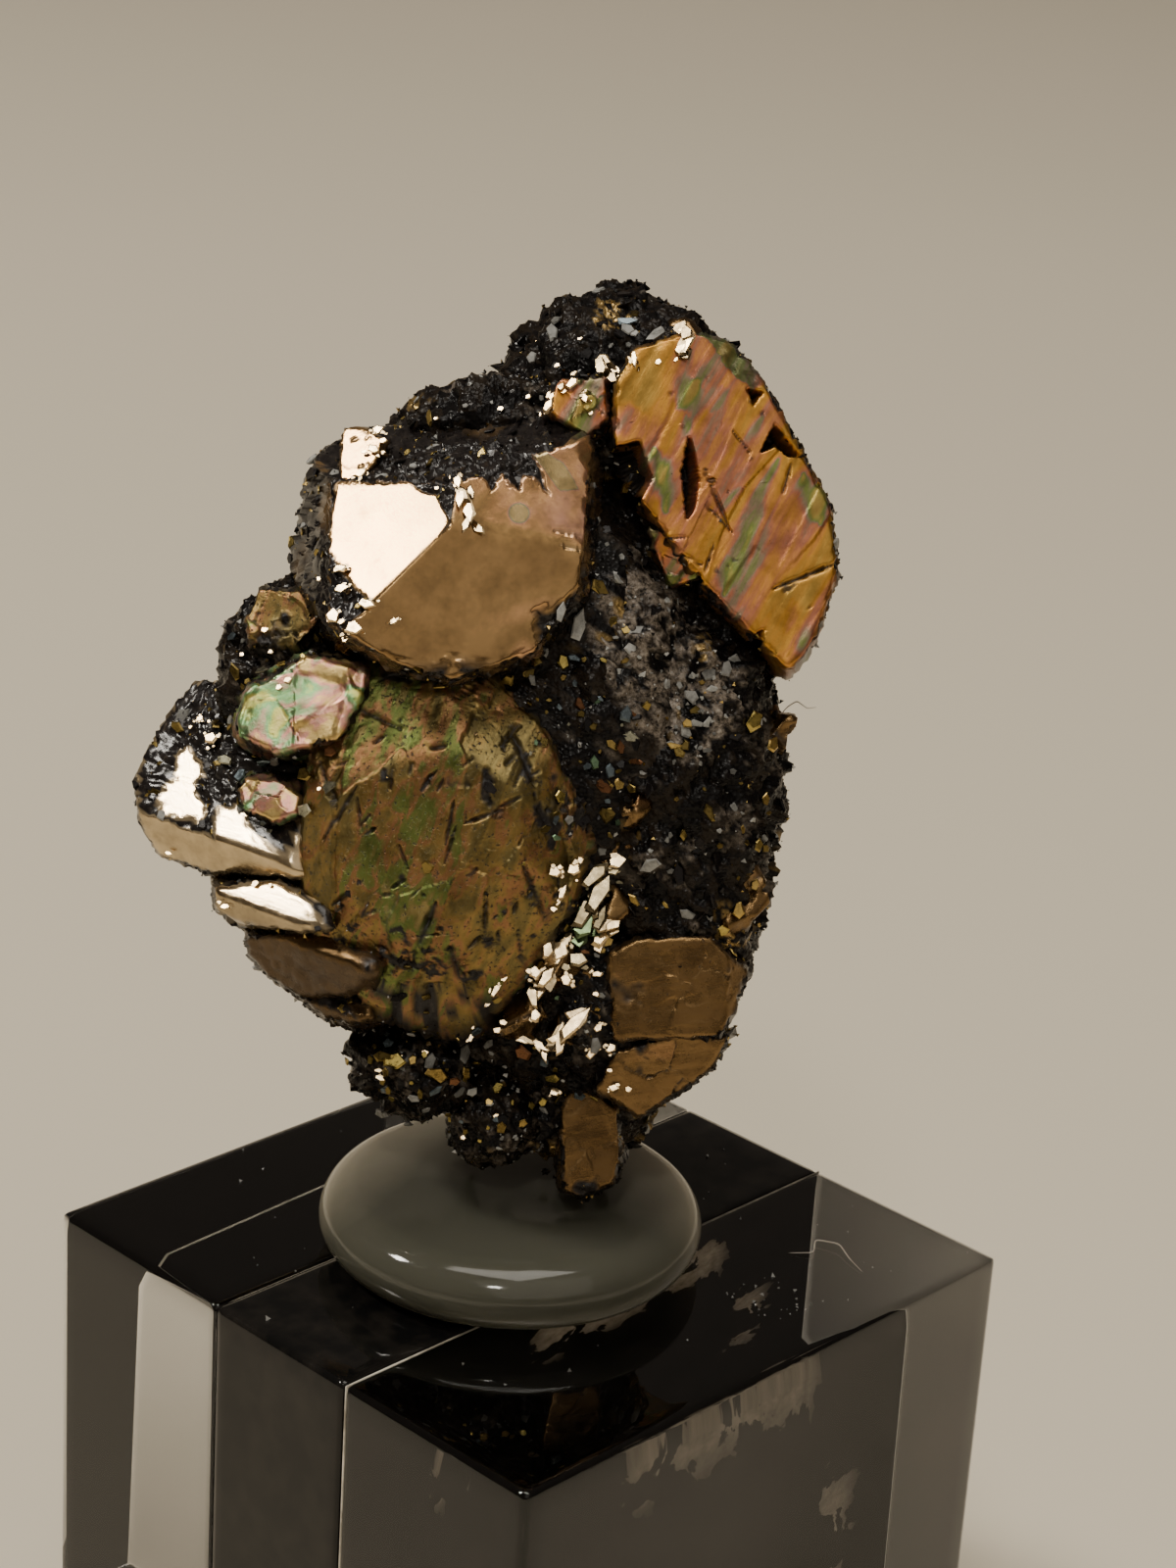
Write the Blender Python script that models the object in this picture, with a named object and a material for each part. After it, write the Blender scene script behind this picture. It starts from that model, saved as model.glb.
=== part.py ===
"""Pyrite with hematite, held upright on its tip by a gel pad on a block of three bonded sheets.

The block stands on the origin with its sides along X and Y. The stone is laid out as it is seen
from its show side: each place is (across, up, towards the viewer) in millimetres, measured from
STONE_CENTRE along axes turned by SHOW_TURN. One crystal is the space inside flat faces, one
hematite mass is a lumpy ball, and Boolean unions grow them together into one solid.
"""

import math
import random

import bmesh
import bpy
from mathutils import Euler, Matrix, Vector, noise

MM = 0.001
GAP = 0.3 * MM

# The block: clear, black and clear sheets side by side from -Y to +Y
SHEET_CLEAR = 10.0 * MM
SHEET_BLACK = 8.0 * MM
BLOCK_SIDE = 2 * SHEET_CLEAR + SHEET_BLACK
BLOCK_HEIGHT = 28.0 * MM
BLOCK_EDGE = 0.25 * MM

# The pad: a turned cushion with a round rim and a dent where the stone is pressed in
PAD_CENTRE = (-1.4 * MM, -0.1 * MM)
PAD_FOOT_RADIUS = 6.3 * MM
PAD_RADIUS = 8.0 * MM
PAD_RIM_HEIGHT = 1.5 * MM
PAD_HEIGHT = 3.2 * MM
PAD_TURNS = 48
DENT_CENTRE = (-0.7, -1.4, 33.3)
DENT_RADII = (3.9, 3.9, 2.9)

# The stone's own frame
STONE_CENTRE = Vector((-1.54, 2.40, 49.82)) * MM
SHOW_TURN = Euler([math.radians(a) for a in (68.665, -3.346, -45.430)])
STONE_PLACE = Matrix.Translation(STONE_CENTRE) @ SHOW_TURN.to_matrix().to_4x4()
ROUGH_BLOCK = 80.0

# The hematite's lumpiness: its depth as a share of the radius, and how many knobs and crumbs
ROUGH = 0.24
KNOB_PITCH = 2.3
CRUMB_PITCH = 5.5
CRUMB_SHARE = 0.6

# A chip's faces besides its lit one
CHIP_FACES = 11
CHIP_LIT_REACH = 0.75
GOLDEN_TURN = 2.4

# Directions that faces look in, as (turn to the right, nod upwards) in degrees. The lit faces
# of neighbouring crystals are parallel, and so are the risers of the ledges below them.
LIT = (-23, 25)
RISER = (-40, -31)


def direction(turn, nod):
    """Unit vector that looks at the viewer, turned to the right and nodded upwards."""
    t, n = math.radians(turn), math.radians(nod)
    return Vector((math.sin(t) * math.cos(n), math.sin(n), math.cos(t) * math.cos(n)))


def material(name, colour, roughness, metallic=0.0, transmission=0.0):
    """A Principled material."""
    made = bpy.data.materials.new(name)
    made.use_nodes = True
    shader = made.node_tree.nodes["Principled BSDF"]
    shader.inputs["Base Color"].default_value = (*colour, 1.0)
    shader.inputs["Roughness"].default_value = roughness
    shader.inputs["Metallic"].default_value = metallic
    shader.inputs["Transmission Weight"].default_value = transmission
    return made


def link(name, mesh, place=None):
    """An object in the scene, at its place."""
    made = bpy.data.objects.new(name, mesh)
    bpy.context.scene.collection.objects.link(made)
    if place is not None:
        made.matrix_world = place
    return made


def cut_from_block(faces):
    """A closed convex mesh: a large cube cut off at every (point, outward normal)."""
    bm = bmesh.new()
    bmesh.ops.create_cube(bm, size=ROUGH_BLOCK * MM)
    for point, normal in faces:
        every = bm.verts[:] + bm.edges[:] + bm.faces[:]
        cut = bmesh.ops.bisect_plane(
            bm, geom=every, plane_co=Vector(point) * MM, plane_no=normal, clear_outer=True
        )
        rim = [part for part in cut["geom_cut"] if isinstance(part, bmesh.types.BMEdge)]
        bmesh.ops.holes_fill(bm, edges=rim)
    bmesh.ops.recalc_face_normals(bm, faces=bm.faces)
    return bm


def to_mesh(bm, name):
    """The bmesh as a mesh datablock."""
    mesh = bpy.data.meshes.new(name)
    bm.to_mesh(mesh)
    bm.free()
    return mesh


def crystal(name, outline, level, back, faces, lean=8, tail=30):
    """A crystal known by its outline as seen from the show side, running clockwise.

    Its sides pass through the outline at the given level, lean in by `lean` degrees in front of
    it and by `tail` degrees behind it, down to `back`. The faces, each a point and a (turn, nod),
    close its front.
    """
    cuts = [((0, 0, back), Vector((0, 0, -1)))]
    for here, after in zip(outline, outline[1:] + outline[:1]):
        outward = Vector((here[1] - after[1], after[0] - here[0], 0)).normalized()
        for slope, sign in ((lean, 1), (tail, -1)):
            s = math.radians(slope)
            normal = outward * math.cos(s) + Vector((0, 0, sign * math.sin(s)))
            cuts.append(((here[0], here[1], level), normal))
    cuts += [(point, direction(*look)) for point, look in faces]
    return link(name, to_mesh(cut_from_block(cuts), name), STONE_PLACE)


def pyritohedron(name, centre, size, turns):
    """A twelve-faced pyrite crystal: the normals are (0, 1, 2) with all signs, turned in order."""
    spin = Euler([math.radians(a) for a in turns]).to_matrix()
    cuts = []
    for axis in range(3):
        for one in (-1, 1):
            for two in (-2, 2):
                normal = [0, 0, 0]
                normal[(axis + 1) % 3] = one
                normal[(axis + 2) % 3] = two
                outward = spin @ Vector(normal).normalized()
                cuts.append((Vector(centre) + outward * size, outward))
    return link(name, to_mesh(cut_from_block(cuts), name), STONE_PLACE)


def chip(name, centre, size, seed):
    """A small broken crystal: a lit face, and more at uneven distances all round it."""
    draw = random.Random(seed)
    lit = direction(*LIT)
    cuts = [(Vector(centre) + lit * size * CHIP_LIT_REACH, lit)]
    for number in range(CHIP_FACES):
        height = 1 - 2 * (number + 0.5) / CHIP_FACES
        turn = number * GOLDEN_TURN + draw.uniform(-0.5, 0.5)
        wide = math.sqrt(1 - height * height)
        outward = Vector((wide * math.cos(turn), wide * math.sin(turn), height))
        cuts.append((Vector(centre) + outward * size * draw.uniform(0.7, 1.15), outward))
    return link(name, to_mesh(cut_from_block(cuts), name), STONE_PLACE)


def lump(name, centre, radii, detail=3, rough=ROUGH, seed=0):
    """A hematite mass: a ball stretched to its radii, broken up by coarse and fine noise."""
    bm = bmesh.new()
    bmesh.ops.create_icosphere(bm, subdivisions=detail, radius=1.0)
    for vert in bm.verts:
        way = vert.co.normalized()
        knobs = noise.noise(way * KNOB_PITCH + Vector((seed, 0, 0)))
        crumbs = noise.noise(way * CRUMB_PITCH + Vector((0, seed, 0)))
        reach = 1.0 + rough * (knobs + CRUMB_SHARE * crumbs)
        vert.co = Vector([c + w * r * reach for c, w, r in zip(centre, way, radii)]) * MM
    return link(name, to_mesh(bm, name), STONE_PLACE)


def left_upper_crystal():
    """The big crystal at the upper left: lit face, brown face, shoulder, top and left flank."""
    outline = [
        (-6.1, 13.0), (-2.8, 14.2), (-0.8, 14.8), (2.8, 14.5), (4.6, 12.0), (4.6, 7.9), (4.4, 5.3),
        (2.4, 2.8), (-1.2, 1.5), (-3.9, 2.2), (-6.7, 3.9), (-8.4, 7.5), (-7.9, 10.0),
    ]
    ridge = (-0.75, 8.2, 6.8)
    faces = [
        (ridge, LIT),
        (ridge, (8, -3)),
        (ridge, (15, 22)),
        ((-2.8, 10.2, 4.95), (0, 62)),
        ((-6.1, 8.0, 4.8), (-70, 8)),
    ]
    return crystal("left_upper_crystal", outline, 0, -8, faces)


def right_plate():
    """The thick tarnished plate at the upper right, with the flap at its broken inner corner."""
    outline = [
        (4.6, 14.3), (5.5, 15.8), (7.9, 16.6), (9.6, 16.2), (11.0, 14.7), (12.1, 12.7),
        (13.8, 9.5), (14.1, 6.7), (13.1, 3.9), (12.1, 2.5), (10.3, 3.1), (7.9, 6.3), (5.5, 8.7),
        (4.5, 11.5),
    ]
    plate = crystal("right_plate", outline, -1, -6, [((9.2, 10.0, 2.6), (10, 2))], lean=6)
    edge = [(5.8, 8.9), (8.8, 8.6), (8.6, 6.4), (7.0, 6.0)]
    flap = crystal("plate_flap", edge, 0, -4, [((7.2, 7.6, 1.9), (-4, -16))])
    return [plate, flap]


def front_crystal():
    """The wide olive crystal below the middle."""
    outline = [
        (-6.7, 2.8), (-3.9, 4.1), (0.0, 3.9), (2.8, 0.8), (4.8, -3.5), (3.9, -6.5), (1.6, -9.8),
        (-0.8, -12.0), (-4.7, -11.1), (-7.3, -7.9), (-7.9, -4.7), (-7.5, -0.8),
    ]
    faces = [
        ((-1.9, -3.4, 5.2), (-5, -8)),
        ((-2.7, 0.8, 5.0), (-12, 18)),
        ((-1.1, -8.7, 4.0), (0, -35)),
        ((3.4, -3.4, 3.9), (38, -5)),
        ((-6.3, -4.0, 4.3), (-35, -8)),
    ]
    return crystal("front_crystal", outline, 0, -7, faces)


def left_steps():
    """The stepped plates that stick out at the left, each a lit ledge over its riser."""
    steps = [
        (
            "step_1",
            [
                (-14.4, -1.5), (-13.7, 0.6), (-12.3, 3.0), (-9.9, 2.6), (-5.5, -0.8), (-4.4, -4.8),
                (-6.7, -6.0), (-11.3, -5.3), (-13.5, -4.4), (-14.2, -3.2),
            ],
            [((-12.4, -1.2, 0.0), LIT), ((-10.2, -3.95, 2.35), RISER), ((-8.6, -1.5, 1.8), (30, 10))],
        ),
        (
            "step_2",
            [
                (-11.3, -5.3), (-8.3, -4.8), (-5.5, -5.7), (-5.1, -7.9), (-7.5, -8.1),
                (-10.1, -7.4), (-11.2, -6.7),
            ],
            [((-9.0, -6.4, 3.0), LIT), ((-9.0, -6.6, 3.0), RISER)],
        ),
        (
            "step_3",
            [
                (-10.0, -7.3), (-6.7, -6.7), (-3.2, -7.9), (-3.6, -9.9), (-5.4, -10.5),
                (-7.5, -10.4), (-8.9, -9.5), (-9.8, -8.5),
            ],
            [((-7.0, -8.0, 3.4), LIT), ((-7.0, -8.1, 3.4), RISER)],
        ),
        (
            "step_4",
            [(-7.9, -10.1), (-6.4, -9.3), (-4.0, -9.7), (-4.0, -11.3), (-5.5, -11.6), (-6.9, -11.0)],
            [((-5.6, -10.6, 2.4), LIT), ((-5.6, -10.9, 2.3), RISER)],
        ),
    ]
    return [crystal(name, outline, -1.2, -5, faces) for name, outline, faces in steps]


def small_crystals():
    """The bright patches at the left, the gold bits along the valleys and the rim's lump."""
    made = [
        crystal(
            "patch_upper",
            [
                (-10.3, 1.0), (-9.4, 2.4), (-7.1, 3.1), (-4.3, 2.8), (-4.5, 1.8), (-5.7, -0.2),
                (-8.3, -0.6), (-9.9, 0.2),
            ],
            0, -4, [((-7.3, 1.5, 3.6), (-14, 10))],
        ),
        crystal(
            "patch_lower",
            [
                (-10.4, -1.6), (-9.6, -1.0), (-8.3, -1.2), (-7.1, -2.0), (-7.2, -3.1), (-8.6, -3.3),
                (-10.0, -2.8),
            ],
            0, -4, [((-8.6, -2.1, 2.6), (-8, 6))],
        ),
        crystal(
            "brass_bit",
            [(-4.8, -12.1), (-1.8, -12.4), (-1.9, -13.6), (-4.6, -13.7)],
            -1, -4, [((-3.3, -12.9, 1.0), (-10, 20))],
        ),
    ]
    bits = [
        ((4.5, -6.4, 1.2), 1.3),
        ((2.9, -8.7, 1.0), 1.5),
        ((3.5, -11.0, 0.6), 1.4),
        ((4.9, -4.2, 2.0), 1.1),
        ((5.5, -2.4, 2.4), 0.9),
        ((1.2, -10.7, 1.3), 1.2),
        ((-5.3, 4.2, 3.2), 1.1),
        ((3.7, 14.0, 1.0), 1.3),
        ((5.3, 15.4, 0.6), 1.2),
        ((8.0, 16.0, 0.4), 1.1),
        ((11.1, 0.6, -0.6), 1.3),
        ((9.9, -6.1, 0.0), 1.4),
    ]
    for number, (centre, size) in enumerate(bits, 1):
        made.append(chip(f"bit_{number}", centre, size, number))
    return made


def foot_crystals():
    """The flat brown crystals that step down to the tip at the lower right."""
    upper = crystal(
        "foot_upper",
        [(4.3, -8.0), (5.9, -7.3), (8.9, -7.3), (10.5, -8.9), (10.1, -10.3), (9.4, -11.9), (4.6, -12.1)],
        -1, -6, [((7.0, -9.6, 1.6), (4, -6)), ((9.8, -9.5, 1.0), (50, -5))],
    )
    middle = crystal(
        "foot_middle",
        [(3.9, -13.9), (4.8, -12.0), (7.5, -11.2), (10.0, -11.5), (9.1, -13.0), (8.1, -13.8), (6.0, -15.2)],
        -1.5, -6, [((6.4, -12.8, 0.6), (6, -14))], tail=38,
    )
    tip = crystal(
        "foot_tip",
        [
            (1.4, -16.2), (2.2, -14.1), (5.9, -15.0), (5.6, -17.1), (5.2, -18.1), (3.8, -18.8),
            (2.2, -18.8), (0.7, -18.4),
        ],
        -4.5, -8, [((3.7, -16.5, -1.8), (12, -6))], tail=55,
    )
    return [upper, middle, tip]


def back_crystals():
    """The crystals of the side away from the viewer."""
    places = [
        ((-2.2, 6.4, -5.2), 3.9, (18, 35, 12)),
        ((5.4, -2.6, -7.4), 5.2, (-20, 22, 40)),
        ((-4.4, -4.2, -5.2), 4.4, (30, -15, 25)),
        ((6.6, 9.4, -5.4), 3.8, (10, 48, -18)),
        ((1.6, -9.4, -5.8), 3.8, (-12, 18, 62)),
    ]
    return [pyritohedron(f"back_{n}", *place) for n, place in enumerate(places, 1)]


def hematite_masses():
    """The black crumbly masses that the crystals sit on and poke out of."""
    return [
        lump("top_mass", (5.2, 14.2, -3.5), (5.1, 4.2, 5.6), rough=0.14, seed=3),
        lump("top_knob", (4.9, 18.1, -2.6), (0.7, 0.7, 0.7), detail=2, seed=4),
        lump("right_mass", (7.5, -1.3, -2.5), (4.4, 9.6, 5.4), rough=0.13, seed=7),
        lump("middle_mass", (4.2, 2.6, -2.4), (4.6, 7.0, 5.6), seed=23),
        lump("valley_mass", (3.6, -9.0, -2.8), (4.6, 5.0, 4.6), seed=27),
        lump("neck_mass", (3.2, -13.6, -3.8), (4.0, 3.6, 3.2), seed=31),
        lump("left_mass", (-8.0, 3.3, -1.9), (3.5, 3.7, 3.7), seed=11),
        lump("low_mass", (-3.2, -13.0, -2.6), (2.7, 2.0, 3.4), seed=15),
        lump("tip_mass", (0.2, -15.4, -4.0), (2.3, 2.4, 3.0), detail=2, seed=19),
    ]


def stone(gold):
    """The stone: the core with every crystal and mass grown onto it."""
    core = lump("pyrite_hematite_specimen", (0.8, 0.5, -3.3), (9.0, 13.6, 7.1), rough=0.15, seed=1)
    grown = hematite_masses() + back_crystals() + [front_crystal(), left_upper_crystal()]
    grown += right_plate() + left_steps() + foot_crystals() + small_crystals()
    for piece in grown:
        piece.hide_render = True
        piece.display_type = "WIRE"
        union = core.modifiers.new(piece.name, "BOOLEAN")
        union.operation = "UNION"
        union.object = piece
    core.data.materials.append(gold)
    return core


def pad_profile():
    """Half section of the pad as (radius, height) pairs, foot to top, round at the rim."""
    rim = PAD_RADIUS - PAD_FOOT_RADIUS
    points = [(PAD_FOOT_RADIUS, 0.0)]
    for step in range(1, 9):
        a = math.radians(-90 + 22.5 * step)
        rise = PAD_RIM_HEIGHT * (1 + math.sin(a))
        points.append((PAD_FOOT_RADIUS + rim * math.cos(a), rise))
    crown_height = points[-1][1]
    for step in range(1, 7):
        part = step / 6
        height = crown_height + (PAD_HEIGHT - crown_height) * math.sin(part * math.pi / 2)
        points.append((PAD_FOOT_RADIUS * (1 - part), height))
    return points


def pad(gel):
    """The pad, turned from its profile, with the stone's dent cut from its top."""
    bm = bmesh.new()
    profile = pad_profile()
    floor = BLOCK_HEIGHT + GAP
    rings = []
    for radius, height in profile[:-1]:
        ring = []
        for turn in range(PAD_TURNS):
            a = 2 * math.pi * turn / PAD_TURNS
            x = PAD_CENTRE[0] + radius * math.cos(a)
            y = PAD_CENTRE[1] + radius * math.sin(a)
            ring.append(bm.verts.new((x, y, floor + height)))
        rings.append(ring)
    top = bm.verts.new((*PAD_CENTRE, floor + profile[-1][1]))
    for low, high in zip(rings, rings[1:]):
        for n in range(PAD_TURNS):
            m = (n + 1) % PAD_TURNS
            bm.faces.new((low[n], low[m], high[m], high[n]))
    for n in range(PAD_TURNS):
        bm.faces.new((rings[-1][n], rings[-1][(n + 1) % PAD_TURNS], top))
    bm.faces.new(rings[0][::-1])
    made = link("gel_pad", to_mesh(bm, "gel_pad"))
    made.data.shade_smooth()
    made.data.materials.append(gel)

    bm = bmesh.new()
    bmesh.ops.create_icosphere(bm, subdivisions=3, radius=1.0)
    bmesh.ops.scale(bm, vec=Vector(DENT_RADII) * MM, verts=bm.verts)
    dent = link("pad_dent", to_mesh(bm, "pad_dent"), Matrix.Translation(Vector(DENT_CENTRE) * MM))
    dent.hide_render = True
    dent.display_type = "WIRE"
    cut = made.modifiers.new("dent", "BOOLEAN")
    cut.operation = "DIFFERENCE"
    cut.object = dent
    return made


def slab(name, near, far, rounded, finish):
    """One sheet of the block between two Y values, its outer edges eased."""
    bm = bmesh.new()
    bmesh.ops.create_cube(bm, size=1.0)
    size = Vector((BLOCK_SIDE, far - near, BLOCK_HEIGHT))
    bmesh.ops.scale(bm, vec=size, verts=bm.verts)
    bmesh.ops.translate(bm, vec=(0, (near + far) / 2, BLOCK_HEIGHT / 2), verts=bm.verts)
    outer = []
    for edge in bm.edges:
        ends = [vert.co.y for vert in edge.verts]
        on_outside = all(abs(y - rounded) < MM * 0.01 for y in ends)
        if on_outside or abs(ends[0] - ends[1]) > MM:
            outer.append(edge)
    bmesh.ops.bevel(
        bm, geom=outer, offset=BLOCK_EDGE, segments=2, profile=0.5, affect="EDGES", clamp_overlap=True
    )
    bmesh.ops.recalc_face_normals(bm, faces=bm.faces)
    made = link(name, to_mesh(bm, name))
    made.data.materials.append(finish)
    return made


def block(clear, black):
    """The three sheets, a gap apart where they are bonded."""
    side = BLOCK_SIDE / 2
    seam = SHEET_BLACK / 2
    slab("clear_slab_front", -side, -seam - GAP / 2, -side, clear)
    slab("black_slab_middle", -seam + GAP / 2, seam - GAP / 2, side * 2, black)
    slab("clear_slab_back", seam + GAP / 2, side, side, clear)


def main():
    """Clear the scene and build the object."""
    for old in list(bpy.data.objects):
        bpy.data.objects.remove(old, do_unlink=True)
    gold = material("tarnished_pyrite", (0.55, 0.38, 0.16), 0.28, metallic=1.0)
    gel = material("milky_gel", (0.72, 0.74, 0.68), 0.12, transmission=0.35)
    clear = material("clear_acrylic", (0.96, 0.96, 0.95), 0.03, transmission=1.0)
    black = material("black_acrylic", (0.008, 0.008, 0.009), 0.04)
    block(clear, black)
    pad(gel)
    stone(gold)


main()
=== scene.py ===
"""The finish of a pyrite with hematite specimen on its gel pad and acrylic block.

The stone's pieces are worked out in its show frame: (across, up, towards the viewer) in
millimetres, measured from STONE_CENTRE along axes turned by SHOW_TURN.
"""

import math

import bmesh
import bpy
import numpy as np
from mathutils import Euler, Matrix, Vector


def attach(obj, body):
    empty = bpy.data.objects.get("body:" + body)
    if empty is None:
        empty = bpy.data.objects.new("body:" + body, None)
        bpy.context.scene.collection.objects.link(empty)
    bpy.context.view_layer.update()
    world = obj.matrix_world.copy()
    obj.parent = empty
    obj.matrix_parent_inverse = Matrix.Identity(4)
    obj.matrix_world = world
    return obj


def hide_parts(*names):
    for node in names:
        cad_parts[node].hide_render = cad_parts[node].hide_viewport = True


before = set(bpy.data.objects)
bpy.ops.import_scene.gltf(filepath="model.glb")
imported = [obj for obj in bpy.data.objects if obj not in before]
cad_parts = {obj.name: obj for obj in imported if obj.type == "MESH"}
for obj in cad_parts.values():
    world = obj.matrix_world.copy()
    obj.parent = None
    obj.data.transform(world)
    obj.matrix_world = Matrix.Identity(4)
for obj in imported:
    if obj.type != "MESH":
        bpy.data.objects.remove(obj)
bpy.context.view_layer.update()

MM = 0.001

# The stone's own frame
STONE_CENTRE = np.array((-1.54, 2.40, 49.82)) * MM
SHOW_TURN = Euler([math.radians(a) for a in (68.665, -3.346, -45.430)])
SHOW_AXES = np.array(SHOW_TURN.to_matrix())
STONE = "pyrite_hematite_specimen"

# Directions that faces look in, as (turn to the right, nod upwards) in degrees
LIT = (-23, 25)
RISER = (-40, -31)

# The two lamps that make the glints, and the eye, in the show frame
KEY_WAY = (-0.635, 0.705, 0.312)
KEY_DISTANCE = 900.0
KEY_PLACE = np.array(KEY_WAY) * KEY_DISTANCE
GLINT_WAY = (-0.07, 0.42, 0.905)
GLINT_DISTANCE = 520.0
GLINT_PLACE = np.array(GLINT_WAY) * GLINT_DISTANCE
EYE_PLACE = np.array((3.93, -1.57, 137.0))

# The block and the pad
BLOCK_SIDE = 28.0
SEAM = 4.0
BLOCK_HEIGHT = 28.0
PAD_CENTRE = (-1.4, -0.1)
PAD_FOOT_RADIUS = 6.3
PAD_RADIUS = 8.0
PAD_RIM_HEIGHT = 1.5
PAD_HEIGHT = 3.2


# Shapes shared by the pieces

def towards(turn, nod):
    """Unit vector that looks at the viewer, turned to the right and nodded upwards."""
    t, n = math.radians(turn), math.radians(nod)
    return np.array((math.sin(t) * math.cos(n), math.sin(n), math.cos(t) * math.cos(n)))


def to_place(points):
    """Show-frame millimetres to metres in the object's frame."""
    return STONE_CENTRE + (points @ SHOW_AXES.T) * MM


def scatter(cell, seed):
    """Repeatable numbers from 0 to 1 for whole-number cells (..., 3), by mixing their bits."""
    c = cell.astype(np.int64).astype(np.uint32)
    h = c[..., 0] * np.uint32(0x9E3779B1) ^ c[..., 1] * np.uint32(0x85EBCA77)
    h = h ^ c[..., 2] * np.uint32(0xC2B2AE3D) ^ np.uint32((seed * 0x27D4EB2F) & 0xFFFFFFFF)
    h = (h ^ (h >> np.uint32(15))) * np.uint32(0x2C1B3C6D)
    h = (h ^ (h >> np.uint32(12))) * np.uint32(0x297A2D39)
    return (h ^ (h >> np.uint32(15))).astype(np.float64) / 4294967296.0


def pair_draws(first, second, seed):
    """Repeatable numbers from 0 to 1 for pairs of whole numbers."""
    return scatter(np.stack(np.broadcast_arrays(first, second, 0), -1), seed)


def draws(count, seed):
    """A row of repeatable numbers from 0 to 1."""
    return pair_draws(np.arange(count), 0, seed)


def swell(points, pitch, seed=0, octaves=1):
    """Smooth noise from -1 to 1: random values on a lattice of the pitch, blended between the
    corners; each further octave has half the pitch and half the height."""
    total = np.zeros(points.shape[:-1])
    height, norm = 1.0, 0.0
    for octave in range(octaves):
        p = points / (pitch * 0.5 ** octave)
        base = np.floor(p)
        f = p - base
        f = f * f * (3 - 2 * f)
        value = 0.0
        for corner in np.ndindex(2, 2, 2):
            corner = np.array(corner)
            weight = np.prod(np.where(corner == 1, f, 1 - f), axis=-1)
            value = value + weight * scatter(base + corner, seed + 17 * octave)
        total += height * (2 * value - 1)
        norm += height
        height *= 0.5
    return total / norm


def flakes(points, pitch, seed, step, slope):
    """Broken flats: space is parted among random centres a pitch apart. Each part is raised by up
    to the step and tilted by up to the slope. Returns the height, a random number of the part and
    how far its border is, in millimetres."""
    p = points / pitch
    base = np.floor(p)
    nearest = np.full(p.shape[:-1], 9.0)
    second = np.full(p.shape[:-1], 9.0)
    best = np.zeros_like(p)
    owner = np.zeros_like(p)
    for shift in np.ndindex(3, 3, 3):
        cell = base + np.array(shift) - 1
        centre = cell + np.stack([scatter(cell, seed + k) for k in (1, 2, 3)], -1)
        away = np.linalg.norm(p - centre, axis=-1)
        closer = away < nearest
        second = np.where(closer, nearest, np.minimum(second, away))
        nearest = np.where(closer, away, nearest)
        best = np.where(closer[..., None], p - centre, best)
        owner = np.where(closer[..., None], cell, owner)
    tilt = np.stack([scatter(owner, seed + k) for k in (4, 5, 6)], -1) * 2 - 1
    number = scatter(owner, seed + 7)
    height = step * (number * 2 - 1) + slope * pitch * np.sum(best * tilt, -1)
    return height, number, (second - nearest) * pitch


def inside(points, corners, soft=0.08, fray=0.0, seed=0):
    """1 inside a polygon of the show view and 0 outside, with a soft and a frayed border."""
    here = points[..., :2]
    if fray:
        here = here + fray * np.stack([swell(points, 0.5, seed + k, 3) for k in (0, 50)], -1)
    ends = np.array(corners, float)
    far = np.full(here.shape[:-1], 99.0)
    odd = np.zeros(here.shape[:-1], bool)
    for p, q in zip(ends, np.roll(ends, -1, axis=0)):
        along = q - p
        t = np.clip(((here - p) @ along) / (along @ along), 0, 1)
        far = np.minimum(far, np.linalg.norm(here - (p + t[..., None] * along), axis=-1))
        rise = along[1] if along[1] else 1e-9
        crosses = (p[1] > here[..., 1]) != (q[1] > here[..., 1])
        odd ^= crosses & (here[..., 0] < p[0] + (here[..., 1] - p[1]) * along[0] / rise)
    return np.clip(0.5 + np.where(odd, far, -far) / soft, 0, 1)


def gash(points, start, end, width):
    """1 on the line from start to end in the show view, falling to 0 a few widths away. The
    width narrows to the line's ends."""
    a, b = np.array(start), np.array(end)
    along = b - a
    t = np.clip(((points[..., :2] - a) @ along) / (along @ along), 0, 1)
    away = np.linalg.norm(points[..., :2] - (a + t[..., None] * along), axis=-1)
    taper = np.sqrt(np.clip(4 * t * (1 - t), 0.05, 1))
    return np.exp(-((away / (width * taper)) ** 2))


def mesh_piece(name, points, quads, finish, marks=None, smooth=True):
    """A mesh from arrays of points in metres and of faces, with its finish and point marks."""
    mesh = bpy.data.meshes.new(name)
    mesh.vertices.add(len(points))
    mesh.vertices.foreach_set("co", points.astype(np.float32).ravel())
    loops = np.concatenate([np.asarray(q).ravel() for q in quads])
    sizes = np.concatenate([np.full(len(q), q.shape[1]) for q in quads])
    mesh.loops.add(len(loops))
    mesh.loops.foreach_set("vertex_index", loops.astype(np.int32))
    mesh.polygons.add(len(sizes))
    starts = np.concatenate([[0], np.cumsum(sizes)[:-1]])
    mesh.polygons.foreach_set("loop_start", starts.astype(np.int32))
    mesh.polygons.foreach_set("use_smooth", np.full(len(sizes), smooth))
    for mark, values in (marks or {}).items():
        layer = mesh.attributes.new(mark, "FLOAT", "POINT")
        layer.data.foreach_set("value", values.astype(np.float32).ravel())
    mesh.update(calc_edges=True)
    mesh.materials.append(finish)
    made = bpy.data.objects.new(name, mesh)
    bpy.context.scene.collection.objects.link(made)
    return made


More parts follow.
